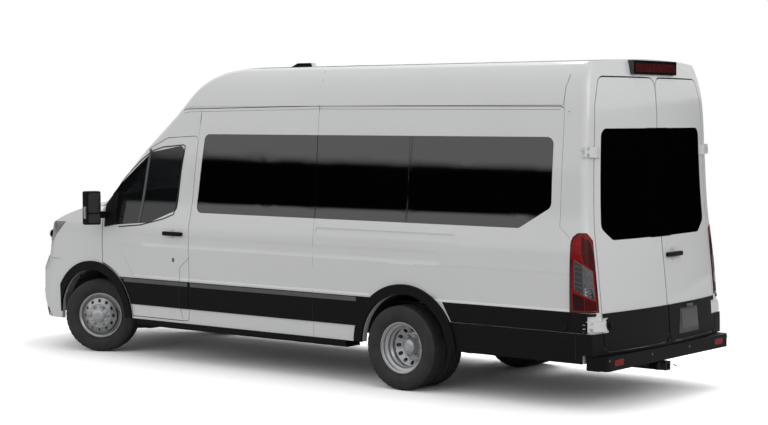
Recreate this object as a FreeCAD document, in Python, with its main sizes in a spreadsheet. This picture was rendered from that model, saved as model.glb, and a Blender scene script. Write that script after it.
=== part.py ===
import FreeCAD, Part
import Sketcher
import math
import os

from FreeCAD import Placement, Rotation, Vector

# Minibus: a long high-roof van body on twin rear wheels, nose towards -Y,
# driver's side towards +X, ground at zero height, origin under the middle of the vehicle.

SIZES = {
    # whole vehicle
    "overall_length": 6703,
    "wheelbase": 3749,
    "rear_overhang": 1931,
    # body side, half widths at heights above the ground
    "sill_height": 330,
    "sill_half_width": 1000,
    "skirt_height": 480,
    "skirt_half_width": 1012,
    "waist_height": 900,
    "waist_half_width": 1023,
    "shoulder_height": 1230,
    "shoulder_half_width": 1016,
    "belt_height": 1403,
    "belt_half_width": 992,
    "glass_mid_height": 1760,
    "glass_mid_half_width": 971,
    "glass_top_height": 2099,
    "glass_top_half_width": 946,
    "gutter_height": 2330,
    "gutter_half_width": 926,
    "roof_side_height": 2500,
    "roof_side_half_width": 894,
    "roof_bend_height": 2618,
    "roof_bend_half_width": 845,
    "roof_edge_height": 2770,
    "roof_edge_half_width": 640,
    "roof_height": 2692,
    "roof_crown_drop": 34,
    "roof_edge_radius": 55,
    "roof_rear_radius": 55,
    # rear face, distances behind the rear axle
    "rear_floor_reach": 1876,
    "rear_belt_reach": 1820,
    "rear_glass_top_reach": 1786,
    "rear_gutter_reach": 1776,
    "rear_top_reach": 1720,
    "rear_crown": 62,
    # nose in plan, distances ahead of the front axle
    "nose_half_width": 1040,
    "nose_low_reach": 906,
    "nose_lamp_reach": 916,
    "nose_hood_reach": 856,
    "nose_curve_depth": 560,
    # top line at the middle of the vehicle, distances from the front axle
    "hood_front_height": 1190,
    "hood_bend_reach": 632,
    "hood_bend_height": 1320,
    "cowl_reach": 192,
    "cowl_height": 1452,
    "hood_drop": 70,
    "windshield_mid_setback": 318,
    "windshield_mid_height": 1860,
    "header_setback": 783,
    "header_height": 2240,
    "brow_setback": 1198,
    "brow_height": 2535,
    "brow_top_setback": 1468,
    "brow_top_height": 2650,
    "roof_front_setback": 1688,
    "windshield_bulge": 250,
    "crown_half_width": 850,
    # walls and gaps
    "body_wall": 58,
    "sheet_wall": 15,
    "hood_wall": 30,
    "pane": 5,
    "pane_inset": 1,
    "pane_bond": 40,
    "panel_gap": 7,
    "fender_gap": 4.7,
    "seam": 4,
    "seam_depth": 9,
    "overrun": 400,
    "body_bottom": 365,
    # front door
    "door_front_setback": 183,
    "door_rear_setback": 1320,
    "door_rear_lean": 74,
    "door_bottom": 385,
    "door_top": 2070,
    "door_belt_front_height": 1470,
    "door_header_setback": 1000,
    "door_header_height": 2050,
    "pillar_mid_setback": 600,
    "pillar_mid_height": 1880,
    "door_corner": 45,
    # front door window
    "door_window_front_setback": 300,
    "door_window_sill": 1225,
    "door_window_sill_rear": 1390,
    "door_window_nose_height": 1545,
    "door_window_bend_setback": 800,
    "door_window_bend_height": 1915,
    "door_window_rear_setback": 1222,
    "door_window_top": 1983,
    "door_window_corner": 50,
    # side window band, distances from the rear axle towards the nose or tail
    "band_front_reach": 2280,
    "band_rear_setback": 1426,
    "band_bottom": 1375,
    "band_top": 2083,
    "band_lean": 80,
    "band_cut": 290,
    "band_cut_height": 170,
    "band_corner": 60,
    "mid_seam_reach": 950,
    "rear_pane_setback": 40,
    # sliding door, on the passenger side
    "slide_front_reach": 2330,
    "slide_top": 2250,
    # rear doors
    "rear_door_top": 2545,
    "rear_door_top_half_width": 760,
    "rear_door_gutter_half_width": 832,
    "rear_door_half_width": 884,
    "rear_door_bottom": 452,
    "rear_door_corner": 80,
    "rear_window_bottom": 1291,
    "rear_window_top": 2148,
    "rear_window_half_width": 808,
    "rear_window_top_half_width": 768,
    "rear_window_cut": 130,
    "rear_window_cut_height": 95,
    "rear_window_corner": 70,
    # windshield, in front view
    "shield_bottom": 1492,
    "shield_side_drop": 50,
    "shield_bottom_half_width": 835,
    "shield_top": 2235,
    "shield_top_half_width": 735,
    "shield_corner": 70,
    # hood, in plan
    "hood_half_width": 810,
    "hood_nose_half_width": 720,
    "hood_rear_gap": 70,
    "hood_pin_reach": 22,
    "hood_pin_height": 1362,
    "hood_pin_half_width": 740,
    "cowl_drop": 22,
    "cowl_wall": 35,
    # lamps and grille
    "lamp_bottom": 960,
    "lamp_top": 1235,
    "lamp_inner": 560,
    "lamp_rear_reach": 330,
    "lamp_rear_slope": 270,
    "grille_bottom": 760,
    "grille_top": 1150,
    "tail_lamp_bottom": 755,
    "tail_lamp_top": 1360,
    "tail_lamp_inner": 912,
    "tail_lamp_front_setback": 1620,
    "tail_lamp_cut": 60,
    # wheels
    "wheel_radius": 349,
    "tyre_width": 195,
    "rim_radius": 212,
    "rim_width": 150,
    "tyre_bead_radius": 200,
    "front_track": 1732,
    "kingpin_half_track": 835,
    "steer_turn": 26.6,
    "rear_outer_half_track": 945,
    "dual_spacing": 222,
    "stud_circle": 90,
    "stud_count": 6,
    "hub_bore_radius": 69,
    "disc_wall": 12,
    "spindle_radius": 32,
    "hand_hole_count": 12,
    "hand_hole_radius": 17,
    "hand_hole_circle": 140,
    # creases, seams and recesses of the skin
    "recess_depth": 8,
    "gutter_rebate": 26,
    "rail_slot_front_reach": 930,
    "rail_slot_rear_setback": 537,
    "rail_slot_bottom": 1236,
    "rail_slot_top": 1300,
    "rail_slot_corner": 20,
    "crease_radius": 260,
    "crease_depth": 7,
    "crease_height": 1106,
    "crease_front_setback": 760,
    "crease_rear_setback": 350,
    "scoop_top": 1050,
    "scoop_low": 775,
    "scoop_edge": 756,
    "scoop_depth": 11,
    "scoop_front_setback": 655,
    "scoop_front_slant": 316,
    "scoop_arch_reach": 396,
    "scoop_arch_slant": 310,
    "scoop_tail_setback": 375,
    "seam_quarter_setback": 1511,
    "seam_quarter_bend": 1401,
    "seam_quarter_end": 1319,
    "seam_quarter_slant": 95,
    "seam_top": 2600,
    # arches
    "arch_radius": 445,
    "front_arch_offset": 45,
    "rear_arch_offset": 30,
    "flare_radius": 525,
    "flare_proud": 22,
    "arch_shell": 12,
    "flare_gap": 15,
    "front_arch_depth": 545,
    "rear_arch_depth": 595,
    # floor and frame
    "floor_top": 700,
    "floor_depth": 40,
    "floor_half_width": 945,
    "rail_half_gap": 400,
    "rail_width": 80,
    "rail_height": 110,
    "rail_front_reach": 740,
    "jack_pad": 60,
    "jack_pad_height": 8,
    "jack_pad_reach": 1220.5,
    "firewall_wall": 30,
    "firewall_setback": 130,
    "pillar_half_width": 862,
    "pillar_width": 50,
    "pillar_depth": 130,
    # door hinges
    "door_pin_inset": 14,
    "door_pin_setback": 18.5,
    "hinge_radius": 6,
    "hinge_play": 0.05,
    "hinge_length": 80,
    "hinge_leaf": 16,
    "door_hinge_low": 880,
    "door_hinge_high": 1120,
    "rear_hinge_low": 655,
    "rear_hinge_high": 1970,
    "rear_pin_low_x": 1030,
    "rear_pin_low_reach": 1789.5,
    "rear_pin_high_x": 958,
    "rear_pin_high_reach": 1716.5,
    "rear_door_gap": 6.5,
    "rear_hinge_radius": 12,
    "hood_pin_radius": 8,
    "hood_pin_length": 40,
    # front bumper
    "bumper_top": 880,
    "bumper_bottom": 300,
    "bumper_mid_height": 480,
    "bumper_wall": 40,
    "bumper_half_width": 1012,
    "bumper_tuck": 60,
    "intake_half_width": 480,
    "intake_bottom": 400,
    "intake_top": 560,
    "grille_half_width": 555,
    "grille_slats": 5,
    "grille_slat": 22,
    "grille_depth": 40,
    # mirrors, on the front doors
    "mirror_front_setback": 5,
    "mirror_sweep": 45,
    "mirror_depth": 105,
    "mirror_outer_depth": 75,
    "mirror_inner": 1105,
    "mirror_outer": 1237,
    "mirror_bottom": 1230,
    "mirror_top": 1545,
    "mirror_corner": 40,
    "mirror_arm": 60,
    "mirror_arm_height": 1290,
    # handles
    "handle_setback": 1012,
    "handle_length": 225,
    "handle_height": 1177,
    "handle_thick": 34,
    "handle_proud": 26,
    # cladding, boards and flares
    "cladding_bottom": 499,
    "cladding_top": 745,
    "cladding_proud": 9,
    "strap_window": 58,
    "strap_window_inner": 815,
    "board_top": 364.5,
    "board_bottom": 306,
    "board_half_width": 1016,
    "board_width": 190,
    "board_front_setback": 640,
    "board_rear_reach": 590,
    "fuel_flap_setback": 1330,
    "fuel_flap_width": 125,
    # rear bumper and hitch
    "step_top": 425,
    "step_bottom": 318,
    "step_depth": 190,
    "step_half_width": 1005,
    "hitch_tube": 60,
    "hitch_half_width": 470,
    "hitch_height": 258,
    "receiver_outer": 72,
    "receiver_bore": 51,
    "receiver_length": 380,
    "receiver_pin_radius": 8,
    "receiver_reach": 1905,
    # roof pieces
    "fin_length": 282,
    "fin_width": 60,
    "fin_height": 2733,
    "fin_setback": 1670,
    "stop_lamp_half_width": 339,
    "stop_lamp_bottom": 2570,
    "stop_lamp_top": 2680,
    "stop_lamp_reach": 1766,
    "stop_lamp_depth": 110,
    # under the body
    "engine_half_width": 300,
    "engine_front_reach": 620,
    "engine_length": 760,
    "engine_bottom": 420,
    "engine_height": 640,
    "shaft_radius": 45,
    "shaft_height": 470,
    "axle_radius": 42,
    "axle_box_radius": 150,
    "spring_half_gap": 545,
    "spring_half_length": 700,
    "spring_width": 70,
    "spring_thick": 34,
    "spring_arch": 130,
    "tank_inner": 120,
    "tank_outer": 360,
    "tank_length": 1150,
    "tank_height": 260,
    "tank_bottom": 372,
    "pipe_radius": 32,
    "pipe_x": -240,
    "pipe_height": 420,
    "silencer_radius": 105,
    "silencer_length": 620,
    "subframe_height": 330,
    "subframe_thick": 60,
    "subframe_half_width": 500,
    "subframe_length": 560,
    "strut_radius": 55,
    "strut_top": 880,
    "arm_thick": 34,
    "ball_clearance": 0.3,
    "spare_radius": 330,
    "spare_width": 190,
    "spare_setback": 1150,
    "spare_height": 400,
    # cabin
    "dash_top": 1330,
    "dash_bottom": 930,
    "dash_depth": 420,
    "dash_half_width": 850,
    "wheel_rim_radius": 195,
    "wheel_rim_thick": 15,
    "wheel_x": 420,
    "wheel_setback": 740,
    "wheel_height": 1180,
    "wheel_tilt": -50,
    "seat_width": 470,
    "seat_depth": 500,
    "seat_cushion": 130,
    "seat_back_height": 640,
    "seat_back_thick": 110,
    "seat_base": 330,
    "seat_side_x": 560,
    "front_seat_setback": 1230,
    "row_first_setback": 2100,
    "row_pitch": 820,
    "row_count": 4,
    "bench_width": 740,
    # more wheel, axle and seat sizes
    "rim_lip": 7,
    "rim_seat_radius": 202,
    "rim_wall": 7,
    "rim_well_depth": 20,
    "disc_flat_radius": 112,
    "tyre_height": 137,
    "tyre_shoulder": 22,
    "hub_cap": 34,
    "hub_cap_radius": 58,
    "rear_hub_reach": 95,
    "ball_low": 232,
    "ball_high": 478,
    "knuckle_half": 34,
    "steer_arm": 110,
    "strut_inset": 172,
    "gearbox_length": 640,
    "gearbox_height": 150,
    "tank_corner": 40,
    "seat_lip": 30,
    "seat_round": 22,
    "seat_aisle": 45,
    "head_rest": 120,
    "column_length": 330,
    # cowl, shelf and rear hinges
    "cowl_margin": 40,
    "shelf_height": 1318,
    "shelf_half_width": 960,
    "cowl_stand_inner": 560,
    "cowl_stand_outer": 660,
    "hood_lug": 50,
    "rear_hinge_length": 80,
    "rear_pin_radius": 6,
    "rear_strap_thick": 14,
    "rear_strap_bend": 30,
    "rear_strap_knee": 70,
    "rear_strap_lap": 55,
    "near_rise_share": 0.6,
    "hinge_clearance": 6.5,
    "rear_rise_low": 31,
    "rear_rise_high": 6,
    "rear_shut_low": 146,
    "rear_shut_high": 107,
    "hood_lip": 22,
    "axle_box_half": 95,
    "axle_box_round": 50,
    "arm_waist": 75,
    "arm_waist_half_track": 640,
    "column_radius": 24,
    "receiver_pin_setback": 60,
    "rear_foot": 45,
}


class Size(float):
    """A named length with the text that binds a property to its cell."""

    def __new__(cls, value, text):
        made = float.__new__(cls, value)
        made.text = text
        return made

    def joined(self, other, sign, value, swap=False):
        text = other.text if isinstance(other, Size) else repr(float(other))
        first, second = (text, self.text) if swap else (self.text, text)
        return Size(value, "(%s %s %s)" % (first, sign, second))

    def __add__(self, other):
        return self.joined(other, "+", float(self) + float(other))

    def __radd__(self, other):
        return self.joined(other, "+", float(other) + float(self), True)

    def __sub__(self, other):
        return self.joined(other, "-", float(self) - float(other))

    def __rsub__(self, other):
        return self.joined(other, "-", float(other) - float(self), True)

    def __mul__(self, other):
        return self.joined(other, "*", float(self) * float(other))

    def __rmul__(self, other):
        return self.joined(other, "*", float(other) * float(self), True)

    def __truediv__(self, other):
        return self.joined(other, "/", float(self) / float(other))

    def __neg__(self):
        return self.joined(-1, "*", -float(self))


class Named:
    """Reads a size from the sheet by its name."""

    def __getattr__(self, alias):
        return Size(float(sheet.get(alias)), "sizes.%s" % alias)


doc = FreeCAD.newDocument("minibus")
sheet = doc.addObject("Spreadsheet::Sheet", "sizes")
for row, (alias, number) in enumerate(SIZES.items(), start=1):
    sheet.set("A%d" % row, alias)
    sheet.set("B%d" % row, str(number))
    sheet.setAlias("B%d" % row, alias)
doc.recompute()
size = Named()

REAR_AXLE = size.overall_length / 2 - size.rear_overhang
FRONT_AXLE = REAR_AXLE - size.wheelbase
TAIL = size.overall_length / 2
NOSE = TAIL - size.overall_length
TOP = size.roof_height + size.overrun
WIDE = size.nose_half_width + size.overrun
PARTS = []


def text_of(value):
    return value.text if isinstance(value, Size) else repr(float(value))


# Plain shapes

def spline(points, start=None, end=None):
    curve = Part.BSplineCurve()
    if start is None:
        curve.interpolate(points)
    else:
        curve.interpolate(points, InitialTangent=start, FinalTangent=end)
    return curve.toShape()


def rounded_wire(points, radius):
    """Closed outline through flat points, each corner rounded by an arc."""
    edges = []
    starts = []
    count = len(points)
    for index, corner in enumerate(points):
        before = (points[index - 1] - corner).normalize()
        after = (points[(index + 1) % count] - corner).normalize()
        half = before.getAngle(after) / 2
        reach = radius / math.tan(half)
        middle = corner + (before + after).normalize() * (radius / math.sin(half) - radius)
        first = corner + before * reach
        last = corner + after * reach
        starts.append((first, last))
        edges.append(Part.Arc(first, middle, last).toShape())
        if index:
            edges.insert(-1, Part.makeLine(starts[index - 1][1], first))
    edges.append(Part.makeLine(starts[-1][1], starts[0][0]))
    return Part.Wire(Part.__sortEdges__(edges))


def outline_wire(points, radius):
    return rounded_wire(points, radius) if radius else Part.makePolygon(points + points[:1])


def side_prism(points, start, end, radius=None, grow=0):
    """Side view outline of (y, z) points, run across the vehicle from start to end."""
    wire = outline_wire([Vector(start, y, z) for y, z in points], radius)
    return run(wire, Vector(end - start, 0, 0), grow)


def front_prism(points, start, end, radius=None, grow=0):
    """Front view outline of (x, z) points, run along the vehicle from start to end."""
    wire = outline_wire([Vector(x, start, z) for x, z in points], radius)
    return run(wire, Vector(0, end - start, 0), grow)


def plan_prism(points, start, end, radius=None, grow=0):
    """Plan view outline of (x, y) points, run upwards from start to end."""
    wire = outline_wire([Vector(x, y, start) for x, y in points], radius)
    return run(wire, Vector(0, 0, end - start), grow)


def run(wire, way, grow):
    if grow:
        wire = wire.makeOffset2D(grow)
    return Part.Face(wire).extrude(way)


def block(x0, x1, y0, y1, z0, z1):
    return Part.makeBox(x1 - x0, y1 - y0, z1 - z0, Vector(x0, y0, z0))


def cylinder_x(radius, x0, x1, y, z):
    return Part.makeCylinder(radius, x1 - x0, Vector(x0, y, z), Vector(1, 0, 0))


def cylinder_z(radius, z0, z1, x, y):
    return Part.makeCylinder(radius, z1 - z0, Vector(x, y, z0), Vector(0, 0, 1))


def mirrored(shape):
    return shape.mirror(Vector(0, 0, 0), Vector(1, 0, 0))


def both(shape):
    return Part.makeCompound([shape, mirrored(shape)])


def biggest(shape):
    """The largest solid of a cut, without slivers beside it."""
    return max(shape.Solids, key=lambda solid: solid.Volume)


def add_feature(name, shape):
    """A sub-part whose form is worked out in this file."""
    solids = shape.Solids
    made = doc.addObject("Part::Feature", name)
    made.Shape = solids[0] if len(solids) == 1 else Part.makeCompound(solids)
    made.Placement = Placement(Vector(0, 0, 0), Rotation())
    made.Label = name
    PARTS.append(made)
    return made


# Forms of the body

def side_form(inset):
    """Body sides, from the sill up past the roof edge, run along the vehicle."""
    levels = [
        (size.sill_height - size.overrun / 4, size.sill_half_width),
        (size.skirt_height, size.skirt_half_width),
        (size.waist_height, size.waist_half_width),
        (size.shoulder_height, size.shoulder_half_width),
        (size.belt_height, size.belt_half_width),
        (size.glass_mid_height, size.glass_mid_half_width),
        (size.glass_top_height, size.glass_top_half_width),
        (size.gutter_height, size.gutter_half_width),
        (size.roof_side_height, size.roof_side_half_width),
        (size.roof_bend_height, size.roof_bend_half_width),
        (size.roof_edge_height, size.roof_edge_half_width),
    ]
    start = NOSE - size.overrun
    left = [Vector(width - inset, start, height) for height, width in levels]
    right = [Vector(-point.x, start, point.z) for point in left]
    wire = Part.Wire([
        spline(left),
        Part.makeLine(left[-1], right[-1]),
        spline(right[::-1]),
        Part.makeLine(right[0], left[0]),
    ])
    return Part.Face(wire).extrude(Vector(0, size.overall_length + size.overrun * 2, 0))


NOSE_POWER_SHARE = 2 / 2.4
NOSE_STEPS = 8


def nose_outline(height, nose_y, half_width):
    points = []
    for step in range(-NOSE_STEPS, NOSE_STEPS + 1):
        turn = math.pi / 2 * step / NOSE_STEPS
        across = math.copysign(abs(math.sin(turn)) ** NOSE_POWER_SHARE, turn) * half_width
        along = nose_y + size.nose_curve_depth * (1 - abs(math.cos(turn)) ** NOSE_POWER_SHARE)
        points.append(Vector(across, along, height))
    back = TAIL + size.overrun
    left, right = Vector(points[-1].x, back, height), Vector(points[0].x, back, height)
    return Part.Wire([
        spline(points),
        Part.makeLine(points[-1], left),
        Part.makeLine(left, right),
        Part.makeLine(right, points[0]),
    ])


def nose_form(inset):
    """Plan curve of the nose, as wide as the sides behind it."""
    levels = [
        (size.sill_height - size.overrun, size.nose_low_reach),
        (size.waist_height, size.nose_lamp_reach),
        (size.shoulder_height, size.nose_hood_reach),
        (TOP, size.nose_hood_reach - size.overrun * 2),
    ]
    outlines = [
        nose_outline(height, FRONT_AXLE - reach + inset, size.nose_half_width - inset)
        for height, reach in levels
    ]
    return Part.makeLoft(outlines, True, True)


def top_outline(x, inset):
    """Side view outline at one distance from the middle: hood, windshield, brow, roof and rear."""
    share = (x / size.crown_half_width) ** 2
    bulge = size.windshield_bulge * share
    low = size.hood_drop * share
    drop = size.roof_crown_drop * share
    lean = inset * SLOPE_SHARE

    def point(y, z):
        return Vector(x, y, z)

    front = NOSE - size.overrun
    base = size.sill_height - size.overrun
    hood = [
        point(front, size.hood_front_height - low * 2 - inset - size.overrun * SLOPE_SHARE),
        point(FRONT_AXLE - size.nose_hood_reach + bulge / 3, size.hood_front_height - low - inset),
        point(FRONT_AXLE - size.hood_bend_reach + bulge / 3, size.hood_bend_height - low - inset),
        point(FRONT_AXLE - size.cowl_reach + bulge + lean, size.cowl_height - low - inset),
    ]
    shield = [
        hood[-1],
        point(FRONT_AXLE + size.windshield_mid_setback + bulge + lean, size.windshield_mid_height - lean),
        point(FRONT_AXLE + size.header_setback + bulge + lean, size.header_height - lean),
        point(FRONT_AXLE + size.brow_setback + bulge * BROW_SHARE + lean, size.brow_height - lean),
        point(FRONT_AXLE + size.brow_top_setback + bulge * BROW_SHARE + lean,
              size.brow_top_height - inset - drop / 2),
        point(FRONT_AXLE + size.roof_front_setback + bulge, size.roof_height - inset - drop),
    ]
    arch = size.rear_crown * share + inset
    tail = [
        point(REAR_AXLE + size.rear_top_reach - arch, size.roof_height - inset - drop),
        point(REAR_AXLE + size.rear_gutter_reach - arch, size.gutter_height),
        point(REAR_AXLE + size.rear_glass_top_reach - arch, size.glass_top_height),
        point(REAR_AXLE + size.rear_belt_reach - arch, size.belt_height),
        point(REAR_AXLE + size.rear_floor_reach - arch, size.waist_height),
        point(REAR_AXLE + size.rear_floor_reach - arch, base),
    ]
    return Part.Wire([
        Part.makeLine(point(front, base), hood[0]),
        spline(hood),
        spline(shield[0:3], shield[1] - shield[0], shield[2] - shield[1]),
        spline(shield[2:], shield[2] - shield[1], Vector(0, 1, 0)),
        Part.makeLine(shield[-1], tail[0]),
        spline(tail),
        Part.makeLine(tail[-1], point(front, base)),
    ])


SLOPE_SHARE = 0.72
BROW_SHARE = 0.75
STATION_SHARES = (-1.35, -0.9, -0.45, 0, 0.45, 0.9, 1.35)


def top_form(inset):
    """Everything under the hood, windshield and roof line."""
    outlines = [top_outline(size.crown_half_width * share, inset) for share in STATION_SHARES]
    return Part.makeLoft(outlines, True, False)


def body_form(inset):
    """The whole body as one solid, its skin moved inwards by the inset."""
    return side_form(inset).common(nose_form(inset)).common(top_form(inset))


def rounded_body():
    """The body with its roof edges, front pillars and rear corners rounded."""
    form = body_form(0).Solids[0]
    corners = []
    across = []
    for edge in form.Edges:
        middle = edge.CenterOfMass
        if abs(middle.x) > size.roof_edge_half_width and middle.z > size.belt_height:
            corners.append(edge)
        elif middle.y > REAR_AXLE and middle.z > size.roof_side_height:
            across.append(edge)
    return form.makeFillet(size.roof_edge_radius, corners)
SKIN = rounded_body()
INNER = body_form(size.body_wall)
SHEET = body_form(size.sheet_wall)
HOOD_INNER = body_form(size.hood_wall)
PANE_TOP = body_form(size.pane_inset)
PANE_BACK = body_form(size.pane_inset + size.pane)
FRONT_ARCH = FRONT_AXLE + size.front_arch_offset
REAR_ARCH = REAR_AXLE + size.rear_arch_offset


def arch_hole(y, radius):
    return cylinder_x(radius, -WIDE, WIDE, y, size.wheel_radius)


# Outlines in side view

def door_outline():
    front = FRONT_AXLE + size.door_front_setback
    rear = FRONT_AXLE + size.door_rear_setback
    return [
        (front, size.door_bottom),
        (rear, size.door_bottom),
        (rear, size.shoulder_height),
        (rear + size.door_rear_lean, size.door_top),
        (FRONT_AXLE + size.door_header_setback, size.door_header_height),
        (FRONT_AXLE + size.pillar_mid_setback, size.pillar_mid_height),
        (front, size.door_belt_front_height),
    ]


def door_window_outline():
    rear = FRONT_AXLE + size.door_window_rear_setback
    front = FRONT_AXLE + size.door_window_front_setback
    return [
        (front, size.door_window_sill),
        (FRONT_AXLE + size.door_window_bend_setback, size.door_window_sill + size.pane_bond),
        (rear - size.door_rear_lean, size.door_window_sill_rear),
        (rear, size.door_window_top),
        (FRONT_AXLE + size.door_window_bend_setback, size.door_window_bend_height),
        (front, size.door_window_nose_height),
    ]


def band_outline(front, rear, front_lean=0, cut=False):
    """One pane of the side window band, its rear lower corner cut off where asked."""
    points = [(front - front_lean, size.band_bottom)]
    if cut:
        points.append((rear - size.band_cut, size.band_bottom))
        points.append((rear, size.band_bottom + size.band_cut_height))
    else:
        points.append((rear, size.band_bottom))
    return points + [(rear, size.band_top), (front, size.band_top)]


BAND_FRONT = REAR_AXLE - size.band_front_reach
BAND_REAR = REAR_AXLE + size.band_rear_setback
SEAM_MIDDLE = REAR_AXLE - size.mid_seam_reach
SEAM_REAR = REAR_AXLE + size.rear_pane_setback
HALF_SEAM = size.seam / 2
BAND_OUTLINE = band_outline(BAND_FRONT, BAND_REAR, front_lean=size.band_lean, cut=True)
PANE_OUTLINES = [
    band_outline(BAND_FRONT, SEAM_MIDDLE - HALF_SEAM, front_lean=size.band_lean),
    band_outline(SEAM_MIDDLE + HALF_SEAM, SEAM_REAR - HALF_SEAM),
    band_outline(SEAM_REAR + HALF_SEAM, BAND_REAR, cut=True),
]


def slide_outline():
    front = REAR_AXLE - size.slide_front_reach
    return [
        (front, size.door_bottom),
        (SEAM_MIDDLE, size.door_bottom),
        (SEAM_MIDDLE, size.slide_top),
        (front, size.slide_top),
    ]


# Outlines in front and rear view

def rear_door_outline():
    inner = size.panel_gap / 2
    return [
        (inner, size.rear_door_bottom),
        (size.rear_door_half_width, size.rear_door_bottom),
        (size.rear_door_half_width, size.belt_height),
        (size.rear_door_gutter_half_width, size.gutter_height),
        (size.rear_door_top_half_width, size.rear_door_top),
        (inner, size.rear_door_top),
    ]


def rear_window_outline():
    inner = size.panel_gap * 2
    return [
        (inner, size.rear_window_bottom),
        (size.rear_window_half_width - size.rear_window_cut, size.rear_window_bottom),
        (size.rear_window_half_width, size.rear_window_bottom + size.rear_window_cut_height),
        (size.rear_window_top_half_width, size.rear_window_top),
        (inner, size.rear_window_top),
    ]


def windshield_outline():
    low = size.shield_bottom - size.shield_side_drop
    return [
        (-size.shield_bottom_half_width, low),
        (0, size.shield_bottom),
        (size.shield_bottom_half_width, low),
        (size.shield_top_half_width, size.shield_top),
        (-size.shield_top_half_width, size.shield_top),
    ]


def hood_outline(gap=0, back=0):
    """Plan outline of the hood, its rear edge following the foot of the windshield."""
    rear = FRONT_AXLE - size.cowl_reach - size.hood_rear_gap + back
    side_rear = rear + size.windshield_bulge * (size.hood_half_width / size.crown_half_width) ** 2
    nose = NOSE - size.overrun
    return [
        (-size.hood_nose_half_width + gap, nose),
        (-size.hood_half_width + gap, side_rear - gap),
        (0, rear - gap),
        (size.hood_half_width - gap, side_rear - gap),
        (size.hood_nose_half_width - gap, nose),
    ]


def curved_plan(points, start, end):
    """Hood outline with its rear edge as one arc."""
    corners = [Vector(x, y, start) for x, y in points]
    wire = Part.Wire([
        Part.makeLine(corners[0], corners[1]),
        Part.Arc(corners[1], corners[2], corners[3]).toShape(),
        Part.makeLine(corners[3], corners[4]),
        Part.makeLine(corners[4], corners[0]),
    ])
    return Part.Face(wire).extrude(Vector(0, 0, end - start))


# Zones that share the skin out between the panels

GAP = size.panel_gap
DOOR_FRONT = FRONT_AXLE + size.door_front_setback
SIDE_START = size.roof_edge_half_width
REAR_ZONE = front_prism(rear_door_outline(), REAR_AXLE + size.rear_belt_reach / 2 + size.overrun,
                        TAIL + size.overrun, size.rear_door_corner, size.rear_door_gap)
HOOD_LOW = size.hood_front_height - size.hood_lip
HOOD_ZONE = curved_plan(hood_outline(), HOOD_LOW, TOP)
COWL_ZONE = curved_plan(hood_outline(-size.cowl_margin, size.hood_rear_gap + size.cowl_margin), HOOD_LOW, TOP)
CABIN_START = DOOR_FRONT - size.fender_gap



# Parametric bodies with bound sketches

def start_body(name):
    body = doc.addObject("PartDesign::Body", name)
    body.Label = name
    PARTS.append(body)
    return body


def bound_sketch(body, role, points, circles=()):
    """Sketch of one closed outline and round holes, every coordinate bound to the sheet."""
    sketch = body.newObject("Sketcher::SketchObject", body.Name + "_outline")
    plane = [item for item in body.Origin.OriginFeatures if item.Role == role][0]
    sketch.AttachmentSupport = [(plane, "")]
    sketch.MapMode = "FlatFace"
    lines = []
    for index, (u, v) in enumerate(points):
        next_u, next_v = points[(index + 1) % len(points)]
        segment = Part.LineSegment(Vector(u, v, 0), Vector(next_u, next_v, 0))
        lines.append(sketch.addGeometry(segment, False))
    for index, line in enumerate(lines):
        sketch.addConstraint(Sketcher.Constraint("Coincident", line, 2, lines[(index + 1) % len(lines)], 1))
        bind_point(sketch, line, 1, points[index])
    for u, v, radius in circles:
        ring = sketch.addGeometry(Part.Circle(Vector(u, v, 0), Vector(0, 0, 1), radius), False)
        bind_point(sketch, ring, 3, (u, v))
        row = sketch.addConstraint(Sketcher.Constraint("Radius", ring, radius))
        sketch.setExpression("Constraints[%d]" % row, text_of(radius))
    return sketch


def bind_point(sketch, shape, end, place):
    for kind, axis, value in (("DistanceX", -2, place[0]), ("DistanceY", -1, place[1])):
        if float(value) == 0:
            sketch.addConstraint(Sketcher.Constraint("PointOnObject", shape, end, axis))
        else:
            row = sketch.addConstraint(Sketcher.Constraint(kind, -1, 1, shape, end, float(value)))
            sketch.setExpression("Constraints[%d]" % row, text_of(value))


def pad(body, role, points, length, circles=()):
    """Outline padded to both sides of its plane."""
    feature = body.newObject("PartDesign::Pad", body.Name + "_pad")
    feature.Profile = bound_sketch(body, role, points, circles)
    feature.setExpression("Length", text_of(length))
    feature.Midplane = True
    return feature


def place(made, x=0, y=0, z=0):
    for axis, value in zip("xyz", (x, y, z)):
        made.setExpression("Placement.Base." + axis, text_of(value))


def turned(body, points):
    """Outline of (along the axle, radius) points turned once round the axle."""
    sketch = bound_sketch(body, "XY_Plane", points)
    feature = body.newObject("PartDesign::Revolution", body.Name + "_turned")
    feature.Profile = sketch
    feature.ReferenceAxis = (sketch, ["H_Axis"])
    feature.Angle = 360
    return feature


# Wheels

BEAD = size.rim_width / 2 - size.rim_lip * 2


def tyre_outline(middle):
    half = size.tyre_width / 2
    side = [
        (BEAD, size.rim_seat_radius + size.ball_clearance),
        (BEAD, size.rim_radius + size.ball_clearance * 2),
        (half * 0.82, size.rim_radius + size.rim_lip),
        (half, size.rim_radius + size.tyre_height * 0.45),
        (half * 0.96, size.wheel_radius - size.tyre_shoulder * 1.4),
        (half * 0.8, size.wheel_radius - size.tyre_shoulder * 0.22),
    ]
    left = [(middle + x, radius) for x, radius in side]
    right = [(middle - x, radius) for x, radius in reversed(side)]
    return left + [(middle + half * 0.4, size.wheel_radius), (middle - half * 0.4, size.wheel_radius)] + right


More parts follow.
